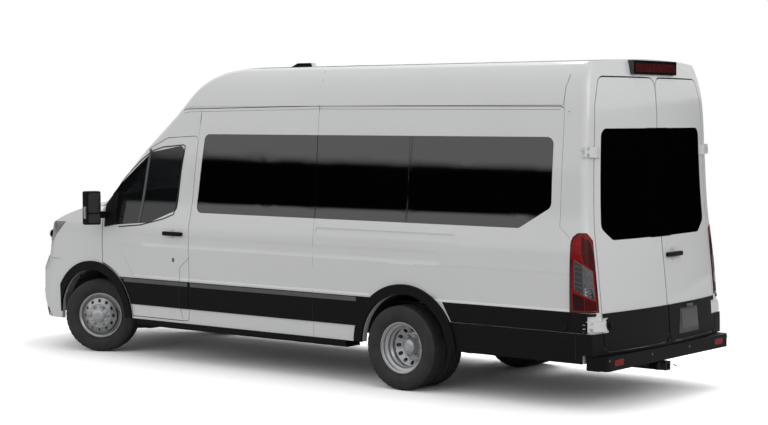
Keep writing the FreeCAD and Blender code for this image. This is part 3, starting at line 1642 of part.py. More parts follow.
def grille():
    """Upper grille: a frame with level slats between the lamps."""
    half = size.grille_half_width
    layer = SKIN.cut(body_form(size.grille_depth))
    frame = layer.common(block(-half, half, NOSE - size.overrun, FRONT_AXLE, size.bumper_top, HOOD_LOW - GAP))
    rim = size.grille_slat
    pitch = (HOOD_LOW - GAP - size.bumper_top - rim) / size.grille_slats
    for row in range(int(size.grille_slats)):
        low = size.bumper_top + rim + pitch * row
        frame = frame.cut(block(-half + rim, half - rim, NOSE - size.overrun, FRONT_AXLE, low,
                                low + pitch - rim))
    add_feature("grille", biggest(frame))


def housing_drums():
    """Plain drums of the front and rear wheel housings, each with the hole for its wheels."""
    shell = size.arch_shell
    outer = size.waist_half_width - size.body_wall - size.hinge_play
    base = block(0, WIDE, NOSE, TAIL, size.wheel_radius + size.axle_radius * 2, TOP)
    front = cylinder_x(size.arch_radius + shell, size.front_arch_depth, size.pillar_half_width + size.pillar_width,
                       FRONT_ARCH, size.wheel_radius).common(base)
    rear = cylinder_x(size.arch_radius + shell, size.rear_arch_depth, outer, REAR_ARCH, size.wheel_radius)
    rear = rear.common(base).common(INNER)
    holes = [cylinder_x(size.arch_radius, depth + shell, WIDE, y, size.wheel_radius)
             for y, depth in ((FRONT_ARCH, size.front_arch_depth), (REAR_ARCH, size.rear_arch_depth))]
    return [front, rear], holes


DRUMS, DRUM_HOLES = housing_drums()


def without_drums(shape):
    for drum in DRUMS + DRUM_HOLES:
        shape = shape.cut(drum).cut(mirrored(drum))
    return shape


def floor_pan():
    """Cabin floor with its rockers, frame rails and lifting pads."""
    low, top = size.floor_top - size.floor_depth, size.floor_top
    rear_end = REAR_AXLE + size.rear_floor_reach - size.rear_crown - size.body_wall - GAP * 2
    door_end = FRONT_AXLE + size.door_rear_setback + GAP * 3
    inner = size.pillar_half_width + size.pillar_width
    wide = INNER.common(block(-WIDE, WIDE, door_end, rear_end, low, top))
    front = block(-inner, inner, CABIN_START - size.firewall_wall, door_end, low, top)
    rocker = block(size.pillar_half_width, inner, FRONT_ARCH + size.arch_radius, door_end,
                   size.body_bottom + size.floor_depth, low)
    rail_low = low - size.rail_height
    rail = block(size.rail_half_gap, size.rail_half_gap + size.rail_width,
                 FRONT_AXLE - size.rail_front_reach, rear_end, rail_low, low)
    pad_x = size.rail_half_gap + size.rail_width / 2
    pad_y = REAR_AXLE - size.jack_pad_reach
    half = size.jack_pad / 2
    pad = block(pad_x - half, pad_x + half, pad_y - half, pad_y + half, rail_low - size.jack_pad_height, rail_low)
    rail = rail.fuse(pad)
    pan = without_drums(wide.fuse([front, rocker, mirrored(rocker), rail, mirrored(rail)]))
    add_feature("floor_pan", biggest(pan))


def wheel_housings():
    made = []
    for drum, hole in zip(DRUMS, DRUM_HOLES):
        shell = biggest(drum.cut(hole))
        made += [shell, mirrored(shell)]
    add_feature("wheel_housings", Part.makeCompound(made))


def firewall():
    """Wall between engine and cabin, with the shelf and stands that carry hood and cowl."""
    half = size.pillar_half_width
    wall = block(-half, half, CABIN_START - size.firewall_wall, CABIN_START, size.floor_top, size.shelf_height)
    shelf_low = size.shelf_height - size.floor_depth / 2
    pin_y = FRONT_AXLE - size.hood_pin_reach
    shelf = block(-half, half, pin_y - size.overrun / 5, CABIN_START, shelf_low, size.shelf_height).common(HOOD_INNER)
    stand = block(size.cowl_stand_inner, size.cowl_stand_outer, pin_y, CABIN_START, shelf_low,
                  NOSE_TOP).common(COWL_UNDER)
    start = size.hood_pin_half_width + size.hood_pin_length / 2 + size.ball_clearance
    bracket = block(start, start + size.hinge_leaf, pin_y - size.hood_pin_radius, pin_y + size.hood_pin_radius,
                    size.shelf_height, size.hood_pin_height + size.hood_pin_radius)
    pin = cylinder_x(size.hood_pin_radius, size.hood_pin_half_width, start, pin_y, size.hood_pin_height)
    made = wall.fuse([shelf, stand, mirrored(stand), bracket, mirrored(bracket), pin, mirrored(pin)])
    add_feature("firewall", biggest(without_drums(made)))


def hinge_pillars():
    add_feature("hinge_pillars", both(biggest(without_drums(hinge_pillar()))))


def tail_lamps():
    lamp = SHELL.common(LAMP_CORNER)
    add_feature("tail_lamps", both(biggest(lamp)))


def mirrors():
    """Door mirrors: a tall swept housing on an arm from the front corner of the door."""
    y = DOOR_FRONT - size.mirror_front_setback
    housing = plan_prism([
        (size.mirror_inner, y), (size.mirror_outer, y - size.mirror_sweep),
        (size.mirror_outer, y - size.mirror_sweep + size.mirror_outer_depth), (size.mirror_inner, y + size.mirror_depth),
    ], size.mirror_bottom, size.mirror_top, size.mirror_corner / 2)
    rims = [edge for edge in housing.Edges if edge.BoundBox.ZLength < GAP]
    housing = housing.makeFillet(size.mirror_corner / 2 - size.seam, rims)
    low = size.mirror_arm_height
    arm = block(size.belt_half_width - size.body_wall / 3, size.mirror_inner + size.mirror_corner,
                DOOR_FRONT + GAP * 2, DOOR_FRONT + GAP * 2 + size.mirror_arm, low, low + size.mirror_arm)
    arm = arm.cut(SKIN)
    made = biggest(housing.fuse(arm))
    add_feature("mirror_left", made)
    add_feature("mirror_right", mirrored(made))


def strap_window():
    """Room round the lower strap of the rear door."""
    half = size.strap_window
    return block(size.strap_window_inner, WIDE, REAR_ARCH, REAR_END, size.rear_hinge_low - half,
                 size.rear_hinge_low + half)


def cladding():
    """Black lower side cladding and wheel arch flares, standing a little proud of the body."""
    layer = body_form(-size.cladding_proud).cut(SKIN).common(LEFT_HALF)
    low, top = size.cladding_bottom, size.cladding_top
    door_rear = FRONT_AXLE + size.door_rear_setback
    rear_ring = arch_hole(REAR_ARCH, size.flare_radius)
    strip = layer.common(block(0, WIDE, door_rear, REAR_ARCH, low, top)).cut(rear_ring)
    tail = layer.common(block(0, WIDE, REAR_ARCH, REAR_END, size.body_bottom, top + GAP)).cut(rear_ring)
    tail = tail.cut(REAR_ZONE).cut(STEP_ZONE).cut(strap_window())
    door = layer.common(block(0, WIDE, DOOR_FRONT, door_rear - GAP, low, top))
    door = biggest(door.cut(arch_hole(FRONT_ARCH, size.flare_radius + size.flare_gap)))
    band = layer.common(front_prism(rear_door_outline(), REAR_START, REAR_END, size.rear_door_corner, -size.seam))
    band = biggest(band.common(block(0, WIDE, REAR_ARCH, REAR_END, 0, top)).cut(strap_window()))
    thick = body_form(-size.flare_proud).cut(SKIN).common(LEFT_HALF)
    pieces = [biggest(strip), biggest(tail)]
    for hole_y in (FRONT_ARCH, REAR_ARCH):
        ring = arch_hole(hole_y, size.flare_radius).cut(arch_hole(hole_y, size.arch_radius))
        ring = thick.common(ring).common(block(0, WIDE, NOSE - size.overrun, TAIL, size.body_bottom, TOP))
        if hole_y < 0:
            ring = ring.cut(block(0, WIDE, NOSE - size.overrun, FRONT_AXLE - size.arch_radius
                                  + size.front_arch_offset, 0, size.bumper_top))
        pieces.append(biggest(ring))
    add_feature("side_cladding", Part.makeCompound(pieces + [mirrored(piece) for piece in pieces]))
    for name, shape in (("door_cladding_", door), ("rear_band_", band)):
        add_feature(name + "left", shape)
        add_feature(name + "right", mirrored(shape))


def running_boards():
    board = block(size.board_half_width - size.board_width, size.board_half_width,
                  FRONT_AXLE + size.board_front_setback, REAR_AXLE - size.board_rear_reach,
                  size.board_bottom, size.body_bottom)
    edges = [edge for edge in board.Edges if edge.CenterOfMass.x > size.board_half_width - GAP
             and edge.CenterOfMass.z < size.body_bottom - GAP and edge.Length > size.board_width * 2]
    add_feature("running_boards", both(board.makeFillet(size.seat_round, edges)))


def rear_bumper():
    half = size.step_half_width
    start = TAIL - size.step_depth
    corner = size.mirror_corner
    step = plan_prism([(-half, start), (-half + corner, TAIL), (half - corner, TAIL), (half, start)],
                      size.step_bottom, size.step_top, corner)
    bracket = block(size.rail_half_gap, size.rail_half_gap + size.rail_width, start - size.rail_width,
                    start + GAP, size.step_bottom + GAP, size.step_top - GAP)
    post = block(size.rail_half_gap, size.rail_half_gap + size.rail_width, start - size.rail_width * 2,
                 start - size.rail_width + GAP, size.step_bottom + GAP, size.floor_top - size.floor_depth - size.rail_height)
    add_feature("rear_bumper", biggest(step.fuse([bracket, mirrored(bracket), post, mirrored(post)])))


def hitch():
    tube = size.hitch_tube
    y = REAR_AXLE + size.receiver_reach - size.receiver_length
    bar = block(-size.hitch_half_width, size.hitch_half_width, y - tube / 2, y + tube / 2,
                size.hitch_height - tube / 2, size.hitch_height + tube / 2)
    outer = size.receiver_outer / 2
    inner = size.receiver_bore / 2
    box = block(-outer, outer, y, y + size.receiver_length, size.hitch_height - outer, size.hitch_height + outer)
    hole = block(-inner, inner, y - tube, y + size.receiver_length + tube, size.hitch_height - inner,
                 size.hitch_height + inner)
    side = block(size.rail_half_gap, size.rail_half_gap + size.rail_width / 4, y - tube / 2, y + tube / 2,
                 size.hitch_height, size.floor_top - size.floor_depth - size.rail_height)
    pin = cylinder_x(size.receiver_pin_radius, -outer * 2, outer * 2,
                     y + size.receiver_length - size.receiver_pin_setback, size.hitch_height)
    made = bar.fuse([box, side, mirrored(side)]).cut(hole).cut(pin)
    add_feature("hitch", biggest(made))


def roof_pieces():
    y = FRONT_AXLE + size.fin_setback
    half = size.fin_width / 2
    fin = side_prism([
        (y, size.roof_height), (y + size.fin_length * 0.35, size.fin_height), (y + size.fin_length * 0.92, size.fin_height),
        (y + size.fin_length, size.roof_height),
    ], -half, half)
    add_feature("antenna_fin", fin)
    y = REAR_AXLE + size.stop_lamp_reach
    lamp = block(-size.stop_lamp_half_width, size.stop_lamp_half_width, y - size.stop_lamp_depth, y,
                 size.stop_lamp_bottom, size.stop_lamp_top).cut(SKIN)
    add_feature("high_stop_lamp", biggest(lamp))


def spare_wheel():
    y = REAR_AXLE + size.spare_setback
    body = cylinder_z(size.spare_radius, size.spare_height - size.spare_width / 2,
                      size.spare_height + size.spare_width / 2, 0, y)
    edges = [edge for edge in body.Edges if edge.Curve.TypeId == "Part::GeomCircle"]
    body = body.makeFillet(size.mirror_corner, edges)
    stem = cylinder_z(size.spindle_radius, size.spare_height, size.floor_top - size.floor_depth, 0, y)
    add_feature("spare_wheel", body.fuse(stem))


grille()
floor_pan()
wheel_housings()
firewall()
hinge_pillars()
tail_lamps()
mirrors()
cladding()
running_boards()
rear_bumper()
hitch()
roof_pieces()
spare_wheel()

doc.recompute()
for item in doc.Objects:
    if "Invalid" in item.State or "Error" in item.State:
        raise RuntimeError("failed: " + item.Name)
for part in PARTS:
    if part.Shape.isNull() or not part.Shape.isValid():
        raise RuntimeError("bad shape: " + part.Label)
for part in PARTS:
    print(part.Label, part.Shape.isValid(), len(part.Shape.Solids), round(part.Shape.Volume / 1e6, 2))
os.makedirs("parts", exist_ok=True)
for part in PARTS:
    part.Shape.exportStep("parts/%s.step" % part.Label)
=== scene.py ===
import math

import bmesh
import bpy
from mathutils import Matrix, Vector
from mathutils.bvhtree import BVHTree


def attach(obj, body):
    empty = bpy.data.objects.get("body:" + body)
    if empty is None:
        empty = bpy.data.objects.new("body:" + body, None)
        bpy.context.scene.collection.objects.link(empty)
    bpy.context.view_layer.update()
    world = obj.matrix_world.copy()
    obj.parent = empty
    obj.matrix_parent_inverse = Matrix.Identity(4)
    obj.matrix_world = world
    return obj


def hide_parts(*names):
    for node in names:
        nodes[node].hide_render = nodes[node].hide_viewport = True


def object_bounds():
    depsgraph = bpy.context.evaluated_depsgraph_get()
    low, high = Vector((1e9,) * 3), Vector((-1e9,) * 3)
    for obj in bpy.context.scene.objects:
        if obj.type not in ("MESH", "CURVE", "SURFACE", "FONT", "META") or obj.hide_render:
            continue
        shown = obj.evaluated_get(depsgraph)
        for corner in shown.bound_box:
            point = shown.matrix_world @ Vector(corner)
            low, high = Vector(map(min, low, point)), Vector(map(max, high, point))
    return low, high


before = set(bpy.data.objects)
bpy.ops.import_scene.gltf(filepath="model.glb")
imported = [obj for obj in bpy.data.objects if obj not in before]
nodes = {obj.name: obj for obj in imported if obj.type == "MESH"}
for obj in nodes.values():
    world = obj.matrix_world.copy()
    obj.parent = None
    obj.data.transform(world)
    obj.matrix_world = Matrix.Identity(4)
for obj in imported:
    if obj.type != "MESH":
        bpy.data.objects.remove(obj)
cad_low, cad_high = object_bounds()


# Materials

COAT_ROUGH = 0.03
CLOUD_DETAIL = 6
CLOUD_LOW, CLOUD_HIGH = 0.3, 0.7
GRAIN_DETAIL = 3
GRAIN_HEIGHT = 0.001
GRAINS = {"grain": ("TexVoronoi", "Distance"), "weave": ("TexChecker", "Fac"), "noise": ("TexNoise", "Fac")}


def set_inputs(node, **values):
    """Each value goes to the input of that name, with _ for a space."""
    for name, value in values.items():
        node.inputs[name.replace("_", " ")].default_value = value
    return node


def add_node(tree, kind, **values):
    return set_inputs(tree.nodes.new("ShaderNode" + kind), **values)


def material(name, color, rough, metal=0.0, spec=0.5, coat=0.0, vary=0.06, scale=6.0, bump=0.0,
             bump_scale=800.0, rough_vary=0.08, alpha=1.0, sheen=0.0, bump_kind="noise"):
    """Principled surface with cloudy colour and roughness and a fine grain."""
    mat = bpy.data.materials.new(name)
    mat.use_nodes = True
    tree = mat.node_tree
    link = tree.links.new
    shader = set_inputs(tree.nodes["Principled BSDF"], Metallic=metal, Specular_IOR_Level=spec,
                        Coat_Weight=coat, Coat_Roughness=COAT_ROUGH, Alpha=alpha, Sheen_Weight=sheen)
    where = add_node(tree, "TexCoord")
    cloud = add_node(tree, "TexNoise", Scale=scale, Detail=CLOUD_DETAIL)
    link(where.outputs["Object"], cloud.inputs["Vector"])
    ramp = add_node(tree, "ValToRGB")
    dark, light = ramp.color_ramp.elements
    dark.position, light.position = CLOUD_LOW, CLOUD_HIGH
    dark.color = (*[part * (1 - vary) for part in color], 1)
    light.color = (*[min(1, part * (1 + vary)) for part in color], 1)
    link(cloud.outputs["Fac"], ramp.inputs["Fac"])
    link(ramp.outputs["Color"], shader.inputs["Base Color"])
    span = add_node(tree, "MapRange", To_Min=max(0.0, rough - rough_vary * rough),
                    To_Max=min(1.0, rough + rough_vary * rough))
    link(cloud.outputs["Fac"], span.inputs["Value"])
    link(span.outputs["Result"], shader.inputs["Roughness"])
    if bump:
        kind, height = GRAINS[bump_kind]
        grain = add_node(tree, kind, Scale=bump_scale)
        if bump_kind == "noise":
            set_inputs(grain, Detail=GRAIN_DETAIL)
        link(where.outputs["Object"], grain.inputs["Vector"])
        raised = add_node(tree, "Bump", Strength=bump, Distance=GRAIN_HEIGHT)
        link(grain.outputs[height], raised.inputs["Height"])
        link(raised.outputs["Normal"], shader.inputs["Normal"])
    return mat


PAINT = material("white_paint", (0.74, 0.745, 0.75), 0.32, spec=0.5, coat=0.9, vary=0.012, scale=1.5,
                 bump=0.02, bump_scale=260)
GLASS_INDEX = 1.66
GLASS = material("tinted_glass", (0.001, 0.001, 0.0012), 0.03, spec=1.0, vary=0.2, scale=2, rough_vary=0.3,
                 alpha=0.99)
set_inputs(GLASS.node_tree.nodes["Principled BSDF"], IOR=GLASS_INDEX)
REAR_GLASS = material("rear_glass", (0.001, 0.001, 0.0012), 0.03, spec=1.0, vary=0.2, scale=2)
DOOR_GLASS = material("door_glass", (0.006, 0.007, 0.008), 0.03, spec=1.0, vary=0.2, scale=2, alpha=0.86)
SHIELD = material("shield_glass", (0.02, 0.025, 0.027), 0.02, spec=0.5, vary=0.1, scale=2, alpha=0.55)
PLASTIC = material("black_plastic", (0.003, 0.003, 0.0033), 0.6, spec=0.2, vary=0.15, scale=9, bump=0.35,
                   bump_scale=1300, bump_kind="grain")
GLOSS_BLACK = material("gloss_black", (0.008, 0.008, 0.009), 0.12, coat=0.6, vary=0.2, bump=0.03)
CHASSIS = material("chassis_paint", (0.028, 0.028, 0.028), 0.6, vary=0.35, scale=4, bump=0.3, bump_scale=90)
CAST = material("cast_block", (0.16, 0.155, 0.15), 0.6, metal=0.6, vary=0.3, scale=8, bump=0.5,
                bump_scale=300)
TANK = material("tank_plastic", (0.03, 0.03, 0.032), 0.5, vary=0.2, bump=0.2, bump_scale=400)
EXHAUST = material("exhaust_steel", (0.3, 0.27, 0.24), 0.42, metal=0.9, vary=0.35, scale=5, bump=0.2,
                   bump_scale=200)
RUBBER = material("tyre_rubber", (0.03, 0.03, 0.031), 0.72, vary=0.25, scale=12, bump=0.3, bump_scale=600)
SILVER = material("wheel_silver", (0.56, 0.565, 0.575), 0.3, metal=0.75, vary=0.05, scale=14, bump=0.04,
                  bump_scale=700)
STEEL = material("plain_steel", (0.5, 0.5, 0.5), 0.3, metal=1.0, vary=0.12, scale=20, bump=0.05,
                 bump_scale=500)
RED = material("red_lens", (0.26, 0.002, 0.003), 0.25, spec=0.2, coat=0.12, vary=0.25, scale=30)
DARK_RED = material("dark_red_lens", (0.06, 0.001, 0.002), 0.25, spec=0.2, coat=0.12, vary=0.3, scale=40)
CLEAR = material("clear_lens", (0.42, 0.43, 0.45), 0.14, metal=0.5, coat=1.0, vary=0.3, scale=40)
AMBER = material("amber_lens", (0.75, 0.22, 0.02), 0.15, coat=1.0, vary=0.1, scale=40)
FABRIC = material("seat_fabric", (0.045, 0.047, 0.052), 0.9, vary=0.25, scale=20, bump=0.6, bump_scale=420,
                  sheen=0.3, bump_kind="weave")
DASH = material("dash_plastic", (0.035, 0.036, 0.038), 0.6, vary=0.15, scale=8, bump=0.3, bump_scale=900,
                bump_kind="grain")
CARPET = material("floor_mat", (0.04, 0.04, 0.042), 0.9, vary=0.3, scale=15, bump=0.7, bump_scale=500)

# Darker copy of the white paint: painted shade for the handle recesses
PAINTED_SHADE_PAINT = material("painted_shade_paint", (0.60, 0.605, 0.61), 0.34, coat=0.9, vary=0.012, scale=2)
SEAM = material("seam_gap", (0.035, 0.035, 0.036), 0.8, vary=0.1)
SEAL = material("rubber_seal", (0.014, 0.014, 0.015), 0.6, vary=0.15)
# Grey of the door divider trim; also the lighter strips on the cladding tops, a painted sky reflection
DIVIDER_GREY_AND_PAINTED_SHEEN = material("divider_grey_and_painted_sheen", (0.10, 0.10, 0.102), 0.4, vary=0.08)
MIRROR = material("mirror_glass", (0.035, 0.036, 0.04), 0.05, metal=0.2, vary=0.04)
CHROME = material("bright_metal", (0.72, 0.73, 0.75), 0.12, metal=1.0, vary=0.08, scale=30)
LAMP_GREY = material("lamp_window", (0.12, 0.125, 0.13), 0.3, metal=0.2, coat=0.1, vary=0.3, scale=60)
LAMP_DARK = material("lamp_dark", (0.035, 0.036, 0.037), 0.4, coat=0.1, vary=0.3, scale=50)
LOW_RED = material("low_red_lens", (0.02, 0.0005, 0.001), 0.25, spec=0.2, coat=0.1, vary=0.3, scale=40)
PLATE_BED = material("plate_bed", (0.055, 0.055, 0.057), 0.5, vary=0.1, bump=0.3, bump_scale=1200,
                     bump_kind="grain")
PLATE_GREY = material("plate_grey", (0.085, 0.085, 0.088), 0.45, vary=0.1)

LOOKS = (
    (PAINT, "body_side_left body_side_right sliding_door roof front_fenders door_front_left "
            "door_front_right rear_door_left rear_door_right hood front_bumper"),
    (DOOR_GLASS, "door_glass_left door_glass_right"),
    (REAR_GLASS, "rear_glass_left rear_glass_right"),
    (SHIELD, "windshield"),
    (GLASS, "side_glass_left side_glass_right"),
    (CLEAR, "head_lamps"),
    (RED, "tail_lamps"),
    (GLOSS_BLACK, "high_stop_lamp antenna_fin"),
    (PLASTIC, "grille cowl_panel side_cladding running_boards rear_bumper mirror_left mirror_right "
              "door_cladding_left door_cladding_right rear_band_left rear_band_right"),
    (DASH, "dashboard steering_wheel"),
    (CHASSIS, "floor_pan hitch rear_axle leaf_springs drive_shaft front_subframe knuckle_left "
              "knuckle_right wheel_housings firewall hinge_pillars"),
    (CAST, "engine_block"),
    (TANK, "fuel_tank"),
    (EXHAUST, "exhaust"),
    (RUBBER, "tyre_front_left tyre_front_right tyres_rear_left tyres_rear_right spare_wheel"),
    (SILVER, "rim_front_left rim_front_right rims_rear_left rims_rear_right"),
    (FABRIC, "front_seats passenger_seats"),
)
for look, names in LOOKS:
    for name in names.split():
        if name in nodes:
            for used in nodes[name].material_slots:
                used.material = look
            if not nodes[name].material_slots:
                nodes[name].data.materials.append(look)


# Tools for the pieces

def surface(*names):
    """Search tree over the faces of the named CAD nodes, to set details on them."""
    points, faces = [], []
    for name in names:
        start = len(points)
        points += [tuple(vertex.co) for vertex in nodes[name].data.vertices]
        faces += [[start + index for index in face.vertices] for face in nodes[name].data.polygons]
    return BVHTree.FromPolygons(points, faces)


OUTSIDE = (PAINT, PLASTIC, GLASS, DOOR_GLASS, REAR_GLASS, SHIELD, CLEAR, RED, GLOSS_BLACK)
SKIN = surface(*[name for look, names in LOOKS if look in OUTSIDE for name in names.split()
                 if not name.startswith(("mirror", "antenna"))])
EDGE_PLAY = 0.0001
BESIDE, BEHIND, ABOVE = 2, 4.5, 4
LAMP_WAY = Vector((0.849, 0.528, 0))
LAMP_RIGHT = Vector((-0.528, 0.849, 0))
LAMP_MIDDLE = Vector((0.98, 3.15, 0))


def hit(start, way, lift, tree=None):
    """Point of the surface that a ray from start meets, lifted off it; without one, the nearest point."""
    found = (tree or SKIN).ray_cast(start, way)[0]
    if found is None:
        found = (tree or SKIN).find_nearest(start + way)[0]
    return found - way * lift


def on_side(y, z, lift=0.0):
    return hit(Vector((BESIDE, y, z)), Vector((-1, 0, 0)), lift)


def on_rear(x, z, lift=0.0):
    return hit(Vector((x, BEHIND, z)), Vector((0, -1, 0)), lift)


def on_front(x, z, lift=0.0):
    return hit(Vector((x, -BEHIND, z)), Vector((0, 1, 0)), lift)


def on_top(x, y, lift=0.0):
    return hit(Vector((x, y, ABOVE)), Vector((0, 0, -1)), lift)


def on_lamp(across, z, lift=0.0):
    """The left tail lamp's outside, at a place across it and a height."""
    start = LAMP_MIDDLE + LAMP_RIGHT * across + Vector((0, 0, z)) + LAMP_WAY * BESIDE
    return hit(start, -LAMP_WAY, lift)


def placed(name, data):
    """New object with its data in the scene."""
    item = bpy.data.objects.new(name, data)
    bpy.context.collection.objects.link(item)
    return item


def made(name, shape, look, body="body", smooth=38, flip=False):
    """One piece from a built shape, held inside the CAD box; flip puts it on the vehicle's other side."""
    mesh = bpy.data.meshes.new(name)
    shape.to_mesh(mesh)
    if flip:
        mesh.transform(Matrix.Scale(-1, 4, Vector((1, 0, 0))))
        mesh.flip_normals()
    for vert in mesh.vertices:
        for axis in range(3):
            vert.co[axis] = min(max(vert.co[axis], cad_low[axis] - EDGE_PLAY), cad_high[axis] + EDGE_PLAY)
    mesh.shade_smooth()
    mesh.set_sharp_from_angle(angle=math.radians(smooth))
    item = placed(name, mesh)
    mesh.materials.append(look)
    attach(item, body)
    return item


FRONT_DOOR = "front_door_left"


def pair(name, shape, look, body="body"):
    """A piece on the left and its mirror image on the right."""
    other = body.replace("left", "right")
    return made(name + "_left", shape, look, body), made(name + "_right", shape, look, other, flip=True)


def form(build, *details, **more):
    """A new shape with one form in it."""
    shape = bmesh.new()
    build(shape, *details, **more)
    return shape


def add_block(shape, low, high, bevel=0.0, turn=None, rounds=2):
    """Box from its low to its high corner, with bevelled edges."""
    middle = (Vector(low) + Vector(high)) / 2
    span = Vector(high) - Vector(low)
    place = (turn or Matrix.Identity(4)) @ Matrix.Translation(middle) @ Matrix.Diagonal((*span, 1))
    corners = bmesh.ops.create_cube(shape, size=1, matrix=place)["verts"]
    if bevel:
        edges = list({edge for vert in corners for edge in vert.link_edges})
        bmesh.ops.bevel(shape, geom=edges, offset=bevel, segments=rounds, profile=0.6, affect="EDGES")


def turned(along, radius, angle):
    """Point beside the X axis, at a radius and an angle about it."""
    return Vector((along, radius * math.cos(angle), radius * math.sin(angle)))


def add_lathe(shape, profile, place, steps=32):
    """Profile of (along, radius) turned about the X axis of place."""
    rings = []
    for along, radius in profile:
        angles = [math.tau * step / steps for step in range(steps)]
        rings.append([shape.verts.new(place @ turned(along, radius, angle)) for angle in angles])
    for first, second in zip(rings, rings[1:]):
        for step in range(steps):
            after = (step + 1) % steps
            shape.faces.new((first[step], second[step], second[after], first[after]))


def along_x(place, way):
    """Matrix that carries the X axis onto way at place."""
    turn = Vector(way).to_track_quat("X", "Z").to_matrix().to_4x4()
    return Matrix.Translation(Vector(place)) @ turn


POINT = 0.0001
WASHER, WASHER_SHARE = 1.25, 0.25
DOME, DOME_SHARE = 1.1, 0.7
ROUND_OFF = 0.002
SKEW = Vector((0.13, 0.31, 0.94))


def add_bolt(shape, place, way, radius, height):
    """Six-sided bolt head on a washer."""
    washer, dome = height * WASHER_SHARE, height * DOME
    add_lathe(shape, [(0, radius * WASHER), (washer, radius * WASHER), (washer, radius), (height, radius),
                      (dome, radius * DOME_SHARE), (dome, POINT)], along_x(place, way), 6)


def add_disc(shape, place, way, radius, height):
    """Round button with a small edge rounding, sunk a little."""
    add_lathe(shape, [(-ROUND_OFF, radius), (height - ROUND_OFF, radius), (height, radius - ROUND_OFF),
                      (height, POINT)], along_x(place, way), 28)


def add_tube(shape, points, radius, sides=8):
    """Round cord through the points."""
    points = [Vector(point) for point in points]
    rings = []
    for before, point, after in zip(points[:1] + points, points, points[1:] + points[-1:]):
        way = (after - before).normalized()
        side = way.cross(SKEW).normalized()
        up = side.cross(way)
        ring = []
        for step in range(sides):
            angle = math.tau * step / sides
            ring.append(shape.verts.new(point + (side * math.cos(angle) + up * math.sin(angle)) * radius))
        rings.append(ring)
    shape.faces.new(list(reversed(rings[0])))
    shape.faces.new(rings[-1])
    for first, second in zip(rings, rings[1:]):
        for step in range(sides):
            after = (step + 1) % sides
            shape.faces.new((first[step], first[after], second[after], second[step]))


def spaced(points, gap):
    """The same path with points about gap apart."""
    path = [Vector(points[0])]
    for first, second in zip(points, points[1:]):
        first, second = Vector(first), Vector(second)
        parts = max(1, int((second - first).length / gap))
        path += [first.lerp(second, (index + 1) / parts) for index in range(parts)]
    return path


def add_line(shape, points, where, radius, lift=0.0, gap=0.04, sides=6):
    """Cord that follows a surface; the points are in that surface's two coordinates."""
    path = spaced([(a, b, 0) for a, b in points], gap)
    add_tube(shape, [where(point.x, point.y, lift) for point in path], radius, sides)


def add_patch(shape, outline, where, lift, thick, rounds=2):
    """Thin plate that follows a surface, with a skirt down to it."""
    flat = bmesh.new()
    face = flat.faces.new([flat.verts.new((a, b, 0)) for a, b in outline])
    bmesh.ops.triangulate(flat, faces=[face])
    for _ in range(rounds):
        bmesh.ops.subdivide_edges(flat, edges=flat.edges[:], cuts=1, use_grid_fill=True)
        bmesh.ops.triangulate(flat, faces=flat.faces[:])
    flat.verts.ensure_lookup_table()
    flat.verts.index_update()
    upper = [shape.verts.new(where(vert.co.x, vert.co.y, lift)) for vert in flat.verts]
    rim = [edge for edge in flat.edges if edge.is_boundary]
    lower = {}
    for vert in [vert for edge in rim for vert in edge.verts]:
        if vert.index not in lower:
            lower[vert.index] = shape.verts.new(where(vert.co.x, vert.co.y, lift - thick))
    for face in flat.faces:
        shape.faces.new([upper[vert.index] for vert in face.verts])
    for edge in rim:
        first, second = edge.verts[0].index, edge.verts[1].index
        shape.faces.new((upper[first], upper[second], lower[second], lower[first]))
    flat.free()
    bmesh.ops.recalc_face_normals(shape, faces=shape.faces[:])


def oval(a, b, wide, high, steps=20):
    """Points round an oval about (a, b)."""
    return [(a + wide * math.cos(math.tau * step / steps), b + high * math.sin(math.tau * step / steps))
            for step in range(steps)]


def rounded(low, high, radius, steps=4):
    """Rectangle with round corners in two coordinates."""
    points = []
    corners = ((high[0], high[1]), (low[0], high[1]), (low[0], low[1]), (high[0], low[1]))
    for index, (a, b) in enumerate(corners):
        inward = (-radius if index in (0, 3) else radius, -radius if index < 2 else radius)
        for step in range(steps + 1):
            angle = math.pi / 2 * (index + step / steps)
            points.append((a + inward[0] + radius * math.cos(angle),
                           b + inward[1] + radius * math.sin(angle)))
    return points


# Wheels: tyres with tread, nuts, caps and brakes

TREAD = [(-0.079, 0), (-0.0535, 0), (-0.0525, 1), (-0.0455, 1), (-0.0445, 0), (-0.0215, 0), (-0.0205, 1),
         (-0.0135, 1), (-0.0125, 0), (0.0125, 0), (0.0135, 1), (0.0205, 1), (0.0215, 0), (0.0445, 0),
         (0.0455, 1), (0.0525, 1), (0.0535, 0), (0.079, 0)]
WALL = [(0.068, 0.2065), (0.072, 0.214), (0.0795, 0.2185), (0.083, 0.2235), (0.0815, 0.227),
        (0.0885, 0.238), (0.0945, 0.256), (0.0972, 0.274), (0.0968, 0.289), (0.0956, 0.2905),
        (0.0953, 0.294), (0.0958, 0.2955), (0.0938, 0.311), (0.0915, 0.3185), (0.0928, 0.3205),
        (0.0885, 0.331), (0.084, 0.3385)]
WHEEL_RADIUS = 0.349
RIM_SEAT = 0.212
TREAD_HALF = 0.079
TREAD_CROWN = 0.0035
GROOVE_DEPTH = 0.0085
CUT_PITCH = 0.033
SHOULDER_FROM = 0.04
SHOULDER_CUT, MIDDLE_CUT = 0.006, 0.0035
WALL_RIB_FROM, WALL_RIB_CUT = 0.325, 0.004
AXLE_FRONT, AXLE_REAR = -2.3285, 1.4205
TRACK_FRONT, TRACK_REAR = 0.835, 0.834
STEERED = 26.6
TWIN_SHIFT = 0.111
NUT_CIRCLE, CAP_CIRCLE = 0.09, 0.078
FRONT_MIDDLE, FRONT_FACE, REAR_FACE = 0.031, 0.142, 0.012


